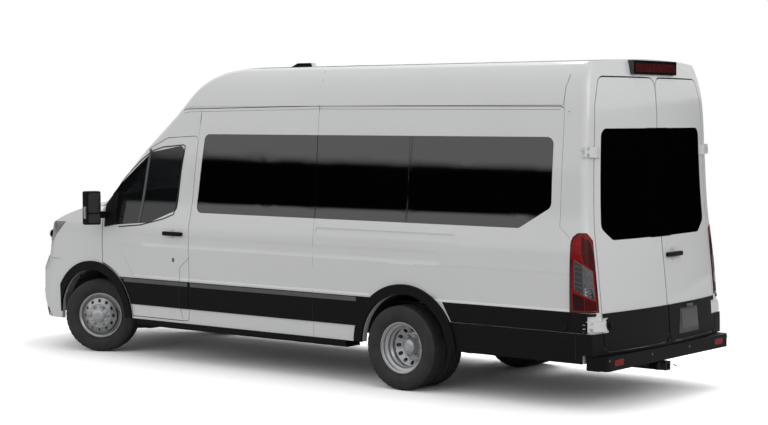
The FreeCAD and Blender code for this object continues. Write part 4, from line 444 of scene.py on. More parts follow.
def add_tyre(shape, place, radius=WHEEL_RADIUS, steps=252):
    """Tyre about the X axis of place: ribs, grooves, cross cuts and ringed walls."""
    section = [(-x, r, -1) for x, r in WALL] + [(x, None, low) for x, low in TREAD] + [
        (x, r, -1) for x, r in reversed(WALL)]
    rings = []
    for step in range(steps):
        angle = math.tau * step / steps
        ring = []
        for x, r, low in section:
            if r is None:
                r = WHEEL_RADIUS - TREAD_CROWN * (x / TREAD_HALF) ** 2 - GROOVE_DEPTH * low
                block = int((x + 0.09) / CUT_PITCH)
                if not low and (step + block * 2) % 6 == 0:
                    r -= SHOULDER_CUT if abs(x) > SHOULDER_FROM else MIDDLE_CUT
            elif r > WALL_RIB_FROM and step % 3 == 0:
                r -= WALL_RIB_CUT
            reach = RIM_SEAT + (r - RIM_SEAT) * (radius - RIM_SEAT) / (WHEEL_RADIUS - RIM_SEAT)
            ring.append(shape.verts.new(place @ turned(x, reach, angle)))
        rings.append(ring)
    for step in range(steps):
        first, second = rings[step], rings[(step + 1) % steps]
        for index in range(len(section) - 1):
            shape.faces.new((first[index], first[index + 1], second[index + 1], second[index]))


def hub_place(x, y, degrees):
    """Place of a wheel, with its X axis outwards."""
    return Matrix.Translation((x, y, WHEEL_RADIUS)) @ Matrix.Rotation(math.radians(degrees), 4, "Z")


HUBS = {
    "front_left": (hub_place(TRACK_FRONT, AXLE_FRONT, STEERED), FRONT_MIDDLE, FRONT_FACE),
    "front_right": (hub_place(-TRACK_FRONT, AXLE_FRONT, STEERED + 180), FRONT_MIDDLE, FRONT_FACE),
    "rear_left": (hub_place(TRACK_REAR, AXLE_REAR, 0), 0.0, REAR_FACE),
    "rear_right": (hub_place(-TRACK_REAR, AXLE_REAR, 180), 0.0, REAR_FACE),
}
for corner, (place, middle, face) in HUBS.items():
    body = "wheel_" + corner
    front = corner.startswith("front")
    tyres = bmesh.new()
    for shift in ((middle,) if front else (TWIN_SHIFT, -TWIN_SHIFT)):
        add_tyre(tyres, place @ Matrix.Translation((shift, 0, 0)))
    item = made("tread_" + corner, tyres, RUBBER, body, smooth=30)
    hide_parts(("tyre_" if front else "tyres_") + corner)
    nuts = bmesh.new()
    for index in range(6):
        seat = place @ Matrix.Translation(turned(face, NUT_CIRCLE, math.tau * index / 6))
        add_lathe(nuts, [(0, 0.0165), (0.004, 0.0165), (0.005, 0.0135), (0.019, 0.0135), (0.023, 0.0105),
                         (0.025, POINT)], seat, 6)
        add_lathe(nuts, [(0.018, 0.007), (0.031, 0.007), (0.032, 0.006), (0.032, POINT)], seat, 12)
    made("wheel_nuts_" + corner, nuts, STEEL, body, smooth=25)
    cap = bmesh.new()
    start = face + (0.002 if front else 0.004)
    for index in range(6):
        seat = place @ Matrix.Translation(turned(start, CAP_CIRCLE, math.tau * (index + 0.5) / 6))
        add_lathe(cap, [(0, 0.017), (0.006, 0.017), (0.009, 0.013), (0.009, POINT)], seat, 16)
    add_lathe(cap, [(start, 0.073), (start + 0.008, 0.072), (start + 0.012, 0.067), (start + 0.014, 0.0605)],
              place, 48)
    made("hub_ring_" + corner, cap, SILVER, body)
    valve = bmesh.new()
    stem = place @ Matrix.Translation((middle + (0.02 if front else 0.10), 0.178, 0.03))
    add_lathe(valve, [(0, POINT), (0, 0.005), (0.03, 0.0045), (0.031, 0.0035), (0.042, 0.0035),
                      (0.042, POINT)], stem, 10)
    made("valve_" + corner, valve, RUBBER, body)
    disc = bmesh.new()
    if front:
        add_lathe(disc, [(0.062, 0.075), (0.062, 0.158), (0.072, 0.158), (0.0725, 0.15), (0.0795, 0.15),
                         (0.08, 0.158), (0.09, 0.158), (0.09, 0.075)], place, 64)
    else:
        add_lathe(disc, [(-0.11, 0.075), (-0.11, 0.16), (-0.05, 0.163), (-0.045, 0.158), (-0.045, 0.075)],
                  place, 64)
    made("brake_disc_" + corner, disc, STEEL if front else CHASSIS, body)
    if front:
        side = corner.split("_")[1]
        caliper = bmesh.new()
        for step in range(5):
            angle = math.radians((-20 if side == "left" else 160) - 36 + step * 18)
            seat = place @ Matrix.Rotation(angle, 4, "X")
            add_block(caliper, (0.045, 0.088, -0.024), (0.0605, 0.166, 0.024), 0.004, seat)
            add_block(caliper, (0.045, 0.1595, -0.024), (0.105, 0.1705, 0.024), 0.003, seat)
        made("caliper_" + side, caliper, CHASSIS, "steer_" + side)

SPARE_PLACE = Vector((0, 2.5705, 0.4))
SPARE_RADIUS = 0.33
spare = bmesh.new()
place = Matrix.Translation(SPARE_PLACE) @ Matrix.Rotation(math.radians(90), 4, "Y")
add_tyre(spare, place, radius=SPARE_RADIUS, steps=180)
made("spare_tyre", spare, RUBBER, smooth=30)
spare_rim = bmesh.new()
add_lathe(spare_rim, [(0.073, 0.213), (0.066, 0.2), (0.03, 0.195), (0.015, 0.18), (-0.02, 0.178),
                      (-0.035, 0.15), (-0.03, 0.1), (-0.034, 0.04), (-0.034, POINT)], place, 48)
add_lathe(spare_rim, [(-0.073, 0.213), (-0.066, 0.2), (-0.04, 0.195), (-0.03, 0.17), (-0.045, 0.14)],
          place, 48)
add_tube(spare_rim, [SPARE_PLACE - Vector((0, 0, 0.04)), SPARE_PLACE + Vector((0, 0, 0.255))], 0.016, 12)
add_block(spare_rim, (-0.05, 2.5, 0.335), (0.05, 2.64, 0.345), 0.002)
item = made("spare_rim", spare_rim, CHASSIS)
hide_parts("spare_wheel")


# Side of the body

HANDLE_START, HANDLE_END = -1.317, -1.079
handle = bmesh.new()
outer = on_side(-1.2, 1.1765).x
add_block(handle, (outer + 0.012, HANDLE_START, 1.1575), (outer + 0.034, HANDLE_END, 1.1955), 0.011,
          rounds=4)
for start, end in ((HANDLE_START + 0.004, HANDLE_START + 0.04), (HANDLE_END - 0.05, HANDLE_END - 0.004)):
    add_block(handle, (outer - 0.02, start, 1.162), (outer + 0.02, end, 1.191), 0.006)
pair("front_handle", handle, PLASTIC, FRONT_DOOR)
# Handle recess as a slightly raised patch and ring in darker paint: painted shade of a sunk dish
recess = bmesh.new()
add_patch(recess, oval(-1.212, 1.172, 0.033, 0.04, 32), on_side, 0.0008, 0.004)
add_line(recess, oval(-1.212, 1.172, 0.034, 0.041, 32) + [(-1.178, 1.172)], on_side, 0.0016, gap=0.02)
pair("handle_recess", recess, PAINTED_SHADE_PAINT, FRONT_DOOR)
pair("lock_bezel", form(add_patch, oval(-1.208, 0.937, 0.013, 0.019), on_side, 0.003, 0.006), GLOSS_BLACK,
     FRONT_DOOR)
pair("lock_core", form(add_disc, on_side(-1.205, 0.939, 0.003), (1, 0, 0), 0.006, 0.002), STEEL,
     FRONT_DOOR)
made("filler_flap_seam", form(add_line, [(-1.006, 0.966), (-1.125, 0.874), (-1.131, 0.86),
                                         (-1.133, 0.575), (-1.118, 0.48), (-1.094, 0.405)], on_side,
                              0.0017, -0.0004, gap=0.02), SEAM, FRONT_DOOR)

seams = bmesh.new()
for seam in ([(-0.93, 2.12), (-0.915, 2.27)], [(0.470, 2.11), (0.468, 2.32)],
             [(2.92, 2.33), (2.925, 2.46), (2.948, 2.56)]):
    add_line(seams, seam, on_side, 0.0022, -0.0006, gap=0.03)
for y in (-0.95, 0.468):
    add_tube(seams, [on_top(x / 100, y, -0.0008) for x in range(0, 92, 4)], 0.0022, 6)
pair("roof_seam", seams, SEAM)
gutter = bmesh.new()
for rise, radius in ((0.0, 0.0035), (-0.027, 0.0018)):
    path = [(-1.30, 2.262), (-1.259, 2.281), (-1.067, 2.309), (0.467, 2.330), (2.888, 2.319), (2.978, 2.273)]
    add_line(gutter, [(y, z + rise) for y, z in path], on_side, radius, -0.001, gap=0.05)
pair("gutter_seal", gutter, SEAL)

PANE_LOW, PANE_HIGH = 1.385, 2.073
backing = bmesh.new()
for y_low, y_high in ((0.470, 0.470), (1.443, 1.488)):
    add_patch(backing, [(y_low - 0.004, PANE_LOW), (y_low + 0.004, PANE_LOW), (y_high + 0.004, PANE_HIGH),
                        (y_high - 0.004, PANE_HIGH)], on_side, 0.0002, 0.006, rounds=3)
pair("pane_seal", backing, GLOSS_BLACK)
pair("door_divider", form(add_patch, [(-1.530, 1.945), (-1.556, 1.94), (-1.676, 1.262), (-1.650, 1.258)],
                          on_side, 0.004, 0.008, rounds=3), DIVIDER_GREY_AND_PAINTED_SHEEN, FRONT_DOOR)
pair("window_seal", form(add_line, [(-2.022, 1.569), (-1.651, 1.847), (-1.518, 1.926), (-1.388, 1.961),
                                    (-1.132, 1.983), (-1.104, 1.975), (-1.110, 1.93), (-1.201, 1.393),
                                    (-1.22, 1.35), (-1.351, 1.304), (-1.635, 1.240), (-1.925, 1.213)],
                         on_side, 0.006, -0.001, gap=0.03, sides=8), SEAL, FRONT_DOOR)
pair("mirror_sail", form(add_patch, [(-2.12, 1.430), (-1.995, 1.548), (-1.955, 1.52), (-1.975, 1.34),
                                     (-1.94, 1.235), (-2.115, 1.205)], on_side, 0.006, 0.012, rounds=3),
     PLASTIC, FRONT_DOOR)

# Lighter grey strips over the top bevel of the black cladding: painted reflection of the sky on its upward
# face
SHEEN_LOW, SHEEN_HIGH = 0.703, 0.739
for name, start, end, body in (("door_bevel_painted_sheen", -1.90, -1.02, FRONT_DOOR),
                               ("side_bevel_painted_sheen", -0.985, 0.95, "body")):
    bevel = bmesh.new()
    add_patch(bevel, [(start, SHEEN_LOW), (end, SHEEN_LOW), (end, SHEEN_HIGH), (start, SHEEN_HIGH)], on_side,
              0.0006, 0.003, rounds=4)
    pair(name, bevel, DIVIDER_GREY_AND_PAINTED_SHEEN, body)
ribs = bmesh.new()
for x in (0.93, 0.95, 0.97, 0.99):
    add_tube(ribs, [(x, -1.6, 0.365), (x, 0.75, 0.365)], 0.003, 6)
pair("step_ribs", ribs, PLASTIC)
pair("tail_cladding", form(add_patch, [(1.93, 0.60), (3.04, 0.60), (3.04, 0.756), (1.84, 0.754)], on_side,
                           0.005, 0.012, rounds=4), PLASTIC)
pair("corner_cladding", form(add_patch, [(-0.115, 0.60), (0.022, 0.60), (0.022, 0.730), (0.088, 0.730),
                                         (0.090, 0.752), (-0.115, 0.756)], on_lamp, 0.005, 0.012,
                             rounds=4), PLASTIC)
caps = bmesh.new()
add_lathe(caps, [(-0.01, 0.046), (0.004, 0.045), (0.007, 0.040), (0.006, 0.034), (0.004, 0.030),
                 (0.004, POINT)], along_x(on_side(2.985, 0.652, 0.005), (1, 0, 0)), 32)
add_line(caps, [(2.05, 0.521), (3.12, 0.521)], on_side, 0.003, gap=0.06)
add_line(caps, [(2.05, 0.560), (2.62, 0.556)], on_side, 0.002, gap=0.06)
pair("corner_cap", caps, PLASTIC)
corner = bmesh.new()
add_line(corner, [(3.096, 0.74), (3.096, 0.40)], on_side, 0.0018, -0.0006, gap=0.03)
add_line(corner, [(0.47, 0.745), (0.472, 0.5)], on_side, 0.0018, -0.0006, gap=0.03)
pair("cladding_seam", corner, SEAM)


# Mirrors

mirror_tree = surface("mirror_left")


def on_mirror(x, z, lift=0.0):
    """The left mirror's rear face."""
    return hit(Vector((x, 0, z)), Vector((0, -1, 0)), lift, mirror_tree)


def on_mirror_side(y, z, lift=0.0):
    return hit(Vector((BESIDE, y, z)), Vector((-1, 0, 0)), lift, mirror_tree)


glass = bmesh.new()
add_patch(glass, rounded((1.123, 1.345), (1.222, 1.528), 0.02), on_mirror, 0.002, 0.006)
add_patch(glass, rounded((1.123, 1.248), (1.222, 1.332), 0.018), on_mirror, 0.002, 0.006)
pair("mirror_glass", glass, MIRROR, FRONT_DOOR)
pair("mirror_blinker", form(add_patch, rounded((-2.165, 1.29), (-2.125, 1.40), 0.012), on_mirror_side,
                            0.0002, 0.004), CLEAR, FRONT_DOOR)
rim = bmesh.new()
outline = rounded((1.118, 1.241), (1.228, 1.535), 0.024)
add_line(rim, outline + outline[:1], on_mirror, 0.003, 0.001, gap=0.02)
add_line(rim, [(1.12, 1.338), (1.226, 1.338)], on_mirror, 0.003, 0.001, gap=0.02)
pair("mirror_rim", rim, PLASTIC, FRONT_DOOR)


# Tail lamps

LAMP_LEFT, LAMP_WIDE = -0.108, 0.216
LAMP_TAPER, TAPER_FROM = 0.1, 0.8


def lamp_points(points):
    """Shares of the lamp's width and heights in mm, as places across the lamp."""
    return [(LAMP_LEFT + share * (LAMP_WIDE - LAMP_TAPER * (height / 1000 - TAPER_FROM)), height / 1000)
            for share, height in points]


LENS = {
    "lamp_dark_panel": ([(0.50, 1335), (0.84, 1300), (0.93, 1227), (0.92, 1073), (0.56, 1130), (0.46, 1235)],
                        DARK_RED, 0.0016),
    "lamp_window": ([(0.137, 1158), (0.52, 1117), (0.88, 1069), (0.90, 846), (0.52, 887), (0.137, 931)],
                    LAMP_GREY, 0.0022),
    "lamp_rib_plate": ([(0.155, 1148), (0.46, 1117), (0.46, 900), (0.155, 930)], LAMP_DARK, 0.0030),
    "lamp_chrome": ([(0.53, 948), (0.80, 935), (0.87, 868), (0.87, 852), (0.53, 888)], CHROME, 0.0030),
    "lamp_low_left": ([(0.08, 904), (0.48, 875), (0.48, 775), (0.10, 775)], LOW_RED, 0.0018),
    "lamp_low_right": ([(0.51, 872), (0.92, 838), (0.92, 775), (0.51, 775)], DARK_RED, 0.0018),
}
for name, (points, look, lift) in LENS.items():
    lens = bmesh.new()
    add_patch(lens, lamp_points(points), on_lamp, lift, 0.003, rounds=4)
    for item in pair(name, lens, look):
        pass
lamp_ribs = bmesh.new()
for height in (1105, 1066, 1024, 984, 950):
    add_line(lamp_ribs, lamp_points([(0.16, height + 8), (0.45, height - 4)]), on_lamp, 0.0026, 0.0028,
             gap=0.02)
for step in range(5):
    share = 0.55 + step * 0.065
    add_line(lamp_ribs, lamp_points([(share, 1092 - step * 8), (share, 955 - step * 3)]), on_lamp, 0.0012,
             0.0022, gap=0.02)
pair("lamp_ribs", lamp_ribs, LAMP_GREY)
pair("lamp_sensor", form(add_disc, on_lamp(-0.026, 1.198), LAMP_WAY, 0.010, 0.004), GLOSS_BLACK)
edge = bmesh.new()
rim_line = lamp_points([(0.02, 765), (0.02, 1270), (0.12, 1325), (0.32, 1350), (0.60, 1350), (0.82, 1310),
                        (0.955, 1250), (0.965, 1000), (0.97, 765), (0.02, 765)])
add_line(edge, rim_line, on_lamp, 0.0065, -0.001, gap=0.03, sides=8)
pair("lamp_rim", edge, GLOSS_BLACK)
made("stop_lens", form(add_patch, rounded((-0.31, 2.59), (0.31, 2.655), 0.014), on_rear, 0.001, 0.004),
     DARK_RED)
stop = bmesh.new()
for step in range(-9, 10):
    add_line(stop, [(step * 0.031, 2.594), (step * 0.031, 2.651)], on_rear, 0.001, 0.0012, gap=0.02)
made("stop_lens_ribs", stop, DARK_RED)


# Rear doors and step bumper

rear_handle = bmesh.new()
back = on_rear(-0.16, 1.141).y
add_block(rear_handle, (-0.278, back + 0.010, 1.122), (-0.040, back + 0.034, 1.160), 0.011, rounds=4)
for x in (-0.27, -0.085):
    add_block(rear_handle, (x, back - 0.02, 1.126), (x + 0.035, back + 0.02, 1.155), 0.006)
made("rear_handle", rear_handle, PLASTIC, "back_door_right")
# Handle recess as a slightly raised patch and ring in darker paint: painted shade of a sunk dish
recess = bmesh.new()
add_patch(recess, oval(-0.155, 1.141, 0.045, 0.052, 32), on_rear, 0.0008, 0.004)
add_line(recess, oval(-0.155, 1.141, 0.046, 0.053, 32) + [(-0.109, 1.141)], on_rear, 0.0016, gap=0.02)
made("rear_handle_recess", recess, PAINTED_SHADE_PAINT, "back_door_right")
made("number_recess", form(add_patch, [(-0.525, 0.50), (-0.160, 0.50), (-0.19, 0.70), (-0.50, 0.70)],
                           on_rear, 0.002, 0.006), PLATE_BED, "back_door_right")
plate = bmesh.new()
add_patch(plate, rounded((-0.497, 0.535), (-0.207, 0.683), 0.01), on_rear, 0.005, 0.004)
for x in (-0.44, -0.265):
    add_bolt(plate, on_rear(x, 0.665, 0.005), (0, 1, 0), 0.006, 0.003)
made("blank_number_plate", plate, PLATE_GREY, "back_door_right")
lights = bmesh.new()
back = on_rear(-0.35, 0.72).y
add_block(lights, (-0.40, back - 0.01, 0.705), (-0.30, back + 0.014, 0.727), 0.005)
made("number_lamp", lights, PLATE_GREY, "back_door_right")
made("door_check_knob", form(add_lathe, [(-0.01, 0.05), (0.004, 0.048), (0.009, 0.036), (0.012, 0.024),
                                         (0.026, 0.022), (0.030, 0.016), (0.031, POINT)],
                             along_x(on_rear(0.805, 0.659, -0.012), (0, 1, 0)), 32), PLASTIC,
     "back_door_left")
SEAM_REACH = (0, 0.01, 0.02, 0.03)
SEAM_LIFT = 0.001


def by_seam(x, z, lift=0.0):
    """The rear surface, carried level over the rounded edge of the door."""
    return Vector((x, max(on_rear(x + step, z, lift).y for step in SEAM_REACH) + SEAM_LIFT, z))


pair("rear_pane_surround", form(add_patch, [(0.004, 1.287), (0.16, 1.287), (0.16, 2.150), (0.004, 2.150)],
                                by_seam, 0.0008, 0.010, rounds=4), REAR_GLASS, "back_door_left")
STEP_Y = 3.325
UNDER_DOORS, STEP_LOWEST = 0.43, 0.35
tread_pad = bmesh.new()
for step in range(34):
    x = -0.66 + step * 0.04
    top = hit(Vector((x, STEP_Y, UNDER_DOORS)), Vector((0, 0, -1)), 0.0)
    if top.z > STEP_LOWEST:
        add_tube(tread_pad, [(x, STEP_Y - 0.037, top.z), (x, STEP_Y + 0.01, top.z)], 0.003, 6)
made("step_tread", tread_pad, PLASTIC)
pair("rear_reflector", form(add_patch, rounded((0.735, 0.352), (0.865, 0.398), 0.006), on_rear, 0.002,
                            0.006), RED)
reflector = bmesh.new()
for step in range(9):
    x = 0.745 + step * 0.0138
    add_line(reflector, [(x, 0.356), (x, 0.394)], on_rear, 0.0012, 0.002, gap=0.02)
pair("reflector_ribs", reflector, DARK_RED)
sensors = bmesh.new()
for x, z in ((0.94, 0.40), (0.30, 0.385)):
    add_disc(sensors, on_rear(x, z), (0, 1, 0), 0.011, 0.003)
pair("parking_sensor", sensors, PLATE_GREY)
made("step_edge", form(add_line, [(-0.70, 0.404), (0.70, 0.404)], on_rear, 0.003, -0.001, gap=0.1),
     PLASTIC)
hitch = bmesh.new()
add_lathe(hitch, [(-0.06, 0.030), (0.0, 0.030), (0.002, 0.034), (0.016, 0.034), (0.018, 0.030),
                  (0.018, POINT)], along_x((0.12, 3.292, 0.268), (0, 1, 0)), 28)
add_block(hitch, (0.085, 3.20, 0.29), (0.155, 3.285, 0.304), 0.003)
for x in (-0.18, -0.072):
    add_tube(hitch, [(x, 3.27, 0.245), (x, 3.30, 0.235)], 0.005)
for x in (-0.42, -0.36, 0.36, 0.42):
    add_bolt(hitch, (x, 2.985, 0.35), (0, 1, 0), 0.012, 0.01)
made("hitch_connector", hitch, PLASTIC)


# Nose

lamps = bmesh.new()
shells = bmesh.new()
for x, z, radius in ((0.80, 1.06, 0.052), (0.90, 1.10, 0.042)):
    ring = along_x(on_front(x, z, -0.001), (0, -1, 0))
    add_lathe(lamps, [(-0.004, radius), (0.004, radius * 0.98), (0.004, radius * 0.84),
                      (0.001, radius * 0.8)], ring, 40)
    add_lathe(shells, [(0, radius * 0.8), (0.004, radius * 0.6), (0.006, radius * 0.3), (0.0065, POINT)],
              ring, 40)
pair("projector_ring", lamps, CHROME)
pair("projector_lens", shells, GLOSS_BLACK)
pair("front_blinker", form(add_line, [(0.72, 0.99), (0.86, 1.01), (0.96, 1.05)], on_front, 0.005,
                           gap=0.02), AMBER)
mesh_piece = bmesh.new()
for row in range(7):
    z = 0.915 + row * 0.034
    add_line(mesh_piece, [(-0.51, z), (0.51, z)], on_front, 0.005, 0.002, gap=0.05)
for column in range(-12, 13):
    x = column * 0.042
    add_line(mesh_piece, [(x, 0.90), (x, 1.14)], on_front, 0.003, 0.001)
made("grille_bars", mesh_piece, GLOSS_BLACK)
outline = rounded((-0.545, 0.89), (0.545, 1.152), 0.04)
made("grille_frame", form(add_line, outline + outline[:1], on_front, 0.009, 0.001, gap=0.03, sides=10),
     CHROME)
lower = bmesh.new()
add_patch(lower, rounded((-0.56, 0.44), (0.56, 0.60), 0.03), on_front, 0.003, 0.006, rounds=5)
for side in (1, -1):
    add_patch(lower, oval(0.80 * side, 0.53, 0.075, 0.055, 24), on_front, 0.004, 0.008, rounds=3)
add_patch(lower, [(-0.99, 0.302), (0.99, 0.302), (0.97, 0.385), (-0.97, 0.385)], on_front, 0.003, 0.006,
          rounds=6)
made("bumper_inserts", lower, PLASTIC)
slats = bmesh.new()
for row in range(4):
    z = 0.462 + row * 0.038
    add_line(slats, [(-0.54, z), (0.54, z)], on_front, 0.006, 0.002, gap=0.05)
made("intake_slats", slats, GLOSS_BLACK)
pair("fog_lamp", form(add_disc, on_front(0.80, 0.53, 0.002), (0.35, -0.94, 0), 0.038, 0.010), CLEAR)
made("blank_front_plate", form(add_patch, rounded((-0.155, 0.645), (0.155, 0.795), 0.01), on_front, 0.004,
                               0.006), PLATE_GREY)
bonnet = bmesh.new()
for side in (1, -1):
    add_line(bonnet, [(0.24 * side, -3.08), (0.40 * side, -2.55)], on_top, 0.0015, -0.0003)
    add_disc(bonnet, on_top(0.33 * side, -2.47), (0, -0.3, 1), 0.010, 0.008)
made("hood_details", bonnet, PLASTIC, "hood_lid")
wipers = bmesh.new()
for start, end in (((-0.08, -2.37), (0.60, -2.22)), ((-0.72, -2.30), (-0.10, -2.23))):
    add_disc(wipers, on_top(*start), (0, -0.5, 1), 0.018, 0.02)
    add_line(wipers, [start, end], on_top, 0.005, 0.020)
    add_line(wipers, [(start[0] + 0.05, start[1] + 0.03), (end[0] + 0.02, end[1] + 0.035)], on_top, 0.004,
             0.008)
made("wipers", wipers, GLOSS_BLACK)
made("camera_box", form(add_block, (-0.06, -1.50, 2.02), (0.06, -1.46, 2.09), 0.008), GLOSS_BLACK)


# Cabin

FLOOR_TOP = 0.70
FRONT_SEATS, FIRST_ROW, ROW_PITCH = -1.0985, -0.2285, 0.82
SINGLE, DOUBLE = 470, 740
FRONT_X, DOUBLE_X, SINGLE_X = 0.56, 0.515, -0.605
SEAT_GAP, SEAT_LEAN, FRAME_LEAN = 0.03, 78, -12
WHEEL_X = 0.42
RAIL_X, RAIL_Z = 0.62, 2.42
BASE_MIDDLE, BACK_MIDDLE, REST_MIDDLE = 1.092, 1.44, 1.83
CUSHION_BEVEL = 0.28
CUSHION_GRID = 0.016
STIFF, BEND, PRESSURE = 30, 2, 4
CLOTH_FRAMES = 20
GROWTH = 0.022
GROOVE_PLACES = (-0.27, 0.27)
GROOVE_DIP, GROOVE_WIDE = 0.007, 0.008
SAG, SAG_CURVE = 0.004, 3


def cushion(name, size):
    """Stuffed block: a smaller closed shell blown up against its seams."""
    wide, deep = size[:2]
    shape = bmesh.new()
    corner = Vector(size) / 2
    add_block(shape, -corner, corner, min(size) * CUSHION_BEVEL, rounds=4)
    mesh = bpy.data.meshes.new(name)
    shape.to_mesh(mesh)
    shape.free()
    item = placed(name, mesh)
    remesh = item.modifiers.new("even", "REMESH")
    remesh.mode = "VOXEL"
    remesh.voxel_size = CUSHION_GRID
    bpy.context.view_layer.objects.active = item
    item.select_set(True)
    bpy.ops.object.modifier_apply(modifier="even")
    cloth = item.modifiers.new("stuffing", "CLOTH")
    cloth.settings.use_pressure = True
    cloth.settings.uniform_pressure_force = PRESSURE
    cloth.settings.effector_weights.gravity = 0
    cloth.settings.tension_stiffness = STIFF
    cloth.settings.compression_stiffness = STIFF
    cloth.settings.bending_stiffness = BEND
    cloth.point_cache.frame_start, cloth.point_cache.frame_end = 1, CLOTH_FRAMES
    before = [vert.co.copy() for vert in item.data.vertices]
    for frame_number in range(1, CLOTH_FRAMES + 1):
        bpy.context.scene.frame_set(frame_number)
    bpy.ops.object.modifier_apply(modifier="stuffing")
    for vert, start in zip(item.data.vertices, before):
        grown = vert.co - start
        if grown.length > GROWTH:
            vert.co = start + grown.normalized() * GROWTH
    bpy.context.scene.frame_set(1)
    for vert in item.data.vertices:
        along, across = vert.co.x / wide, vert.co.y / deep
        for groove in GROOVE_PLACES:
            dip = GROOVE_DIP * math.exp(-((along - groove) * wide / GROOVE_WIDE) ** 2)
            vert.co.z -= dip if vert.co.z > 0 else 0
        vert.co.z -= SAG * math.cos(along * SAG_CURVE) * math.cos(across * SAG_CURVE)
    mesh = item.data
    bpy.data.objects.remove(item)
    mesh.shade_smooth()
    return mesh


def set_cushion(name, mesh, place):
    """One cushion of a seat, as a piece on the body."""
    item = placed(name, mesh.copy())
    item.data.transform(place)
    item.data.materials.clear()
    item.data.materials.append(FABRIC)
    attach(item, "body")
    return item


SHAPES = {
    wide: (cushion("base_%d" % wide, (wide / 1000 - SEAT_GAP, 0.47, 0.115)),
           cushion("back_%d" % wide, (wide / 1000 - SEAT_GAP, 0.60, 0.09)))
    for wide in (SINGLE, DOUBLE)
}
REST = cushion("rest", (0.23, 0.14, 0.08))
seat_spots = [("front", side * FRONT_X, FRONT_SEATS, SINGLE) for side in (1, -1)]
for row in range(4):
    for x, wide in ((DOUBLE_X, DOUBLE), (SINGLE_X, SINGLE)):
        seat_spots.append(("row%d" % (row + 1), x, FIRST_ROW + ROW_PITCH * row, wide))
LEAN = Matrix.Rotation(math.radians(SEAT_LEAN), 4, "X")
seat_frames = bmesh.new()
for row, x, y, wide in seat_spots:
    side = "left" if x > 0 else "right"
    base, back = SHAPES[wide]
    name = "%s_%s" % (row, side)
    base_place = Matrix.Translation((x, y + 0.25, BASE_MIDDLE))
    back_place = Matrix.Translation((x, y + 0.515, BACK_MIDDLE)) @ LEAN
    cushions = [set_cushion("cushion_" + name, base, base_place),
                set_cushion("backrest_" + name, back, back_place)]
    rests = (x,) if wide == SINGLE else (x - 0.18, x + 0.18)
    for index, middle in enumerate(rests):
        rest_place = Matrix.Translation((middle, y + 0.585, REST_MIDDLE)) @ LEAN
        cushions.append(set_cushion("head_rest_%s_%d" % (name, index), REST, rest_place))
        for post in (-0.05, 0.05):
            add_tube(seat_frames, [(middle + post, y + 0.575, 1.72), (middle + post, y + 0.585, 1.80)],
                     0.006, 8)
    for item in cushions:
        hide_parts("front_seats" if row == "front" else "passenger_seats")
    half = wide / 2000 - 0.07
    for across in (-half, half):
        leg = x + across
        add_block(seat_frames, (leg - 0.02, y + 0.06, FLOOR_TOP + 0.002),
                  (leg + 0.02, y + 0.47, FLOOR_TOP + 0.022), 0.004)
        for foot, head in ((0.09, 0.13), (0.43, 0.40)):
            add_tube(seat_frames, [(leg, y + foot, FLOOR_TOP + 0.02), (leg, y + head, 1.03)], 0.016, 10)
    add_block(seat_frames, (x - half - 0.03, y + 0.04, 1.025), (x + half + 0.03, y + 0.47, 1.042), 0.006)
    pivot = Matrix.Translation((0, y + 0.56, 1.43))
    add_block(seat_frames, (x - half - 0.02, y + 0.545, 1.15), (x + half + 0.02, y + 0.575, 1.70), 0.01,
              pivot @ Matrix.Rotation(math.radians(FRAME_LEAN), 4, "X") @ pivot.inverted())
    buckle = x + (wide / 2000 - 0.02) * (-1 if x > 0 else 1)
    add_tube(seat_frames, [(buckle, y + 0.44, 1.04), (buckle, y + 0.40, 1.17)], 0.008)
    add_block(seat_frames, (buckle - 0.012, y + 0.385, 1.16), (buckle + 0.012, y + 0.415, 1.21), 0.004)
made("seat_frames", seat_frames, CHASSIS)
belts = bmesh.new()
for side in (1, -1):
    path = spaced([(0.93 * side, -0.62, 2.02), (0.93 * side, -0.66, 1.55), (0.90 * side, -0.70, 0.95)], 0.05)
    add_tube(belts, path, 0.009, 6)
    add_block(belts, (0.91 * side - 0.02, -0.65, 2.0), (0.91 * side + 0.02, -0.59, 2.05), 0.006)
made("front_belts", belts, RUBBER)

dash = bmesh.new()
add_block(dash, (0.27, -1.80, 1.30), (0.57, -1.755, 1.385), 0.012)
add_block(dash, (-0.13, -1.79, 1.20), (0.13, -1.745, 1.345), 0.010)
add_block(dash, (-0.13, -1.775, 0.95), (0.13, -1.62, 1.10), 0.02)
add_block(dash, (-0.62, -1.765, 1.02), (-0.25, -1.725, 1.16), 0.012)
for x in (-0.76, -0.19, 0.19, 0.76):
    add_lathe(dash, [(0, 0.048), (0.02, 0.048), (0.024, 0.042), (0.016, 0.038), (0.016, POINT)],
              along_x((x, -1.755, 1.235), (0, 1, 0.15)), 24)
for x in (0.36, 0.43, 0.50):
    add_block(dash, (x - 0.028, -1.86, 0.86), (x + 0.028, -1.845, 0.93), 0.006)
made("dash_details", dash, DASH)
glow = bmesh.new()
add_block(glow, (-0.11, -1.747, 1.225), (0.11, -1.7425, 1.325), 0.002)
add_block(glow, (0.29, -1.757, 1.31), (0.55, -1.7525, 1.375), 0.002)
made("dash_screens", glow, GLOSS_BLACK)
lever = bmesh.new()
add_tube(lever, [(0, -1.66, 1.09), (0, -1.60, 1.22)], 0.010, 10)
add_lathe(lever, [(-0.02, POINT), (-0.015, 0.016), (0.01, 0.022), (0.028, 0.016), (0.032, POINT)],
          along_x((0, -1.60, 1.225), (0, 0.2, 1)), 20)
for x in (0.25, 0.59):
    add_tube(lever, [(WHEEL_X + (x - WHEEL_X) * 0.3, -1.72, 1.20), (x, -1.70, 1.235)], 0.007)
add_lathe(lever, [(-0.03, POINT), (-0.03, 0.07), (0.01, 0.078), (0.03, 0.06), (0.036, POINT)],
          along_x((WHEEL_X, -1.5885, 1.18), (0, 0.766, 0.643)), 32)
made("controls", lever, DASH)
lining = bmesh.new()
for y in (-0.4, 0.9, 2.2):
    add_block(lining, (-0.07, y - 0.10, 2.56), (0.07, y + 0.10, 2.585), 0.008)
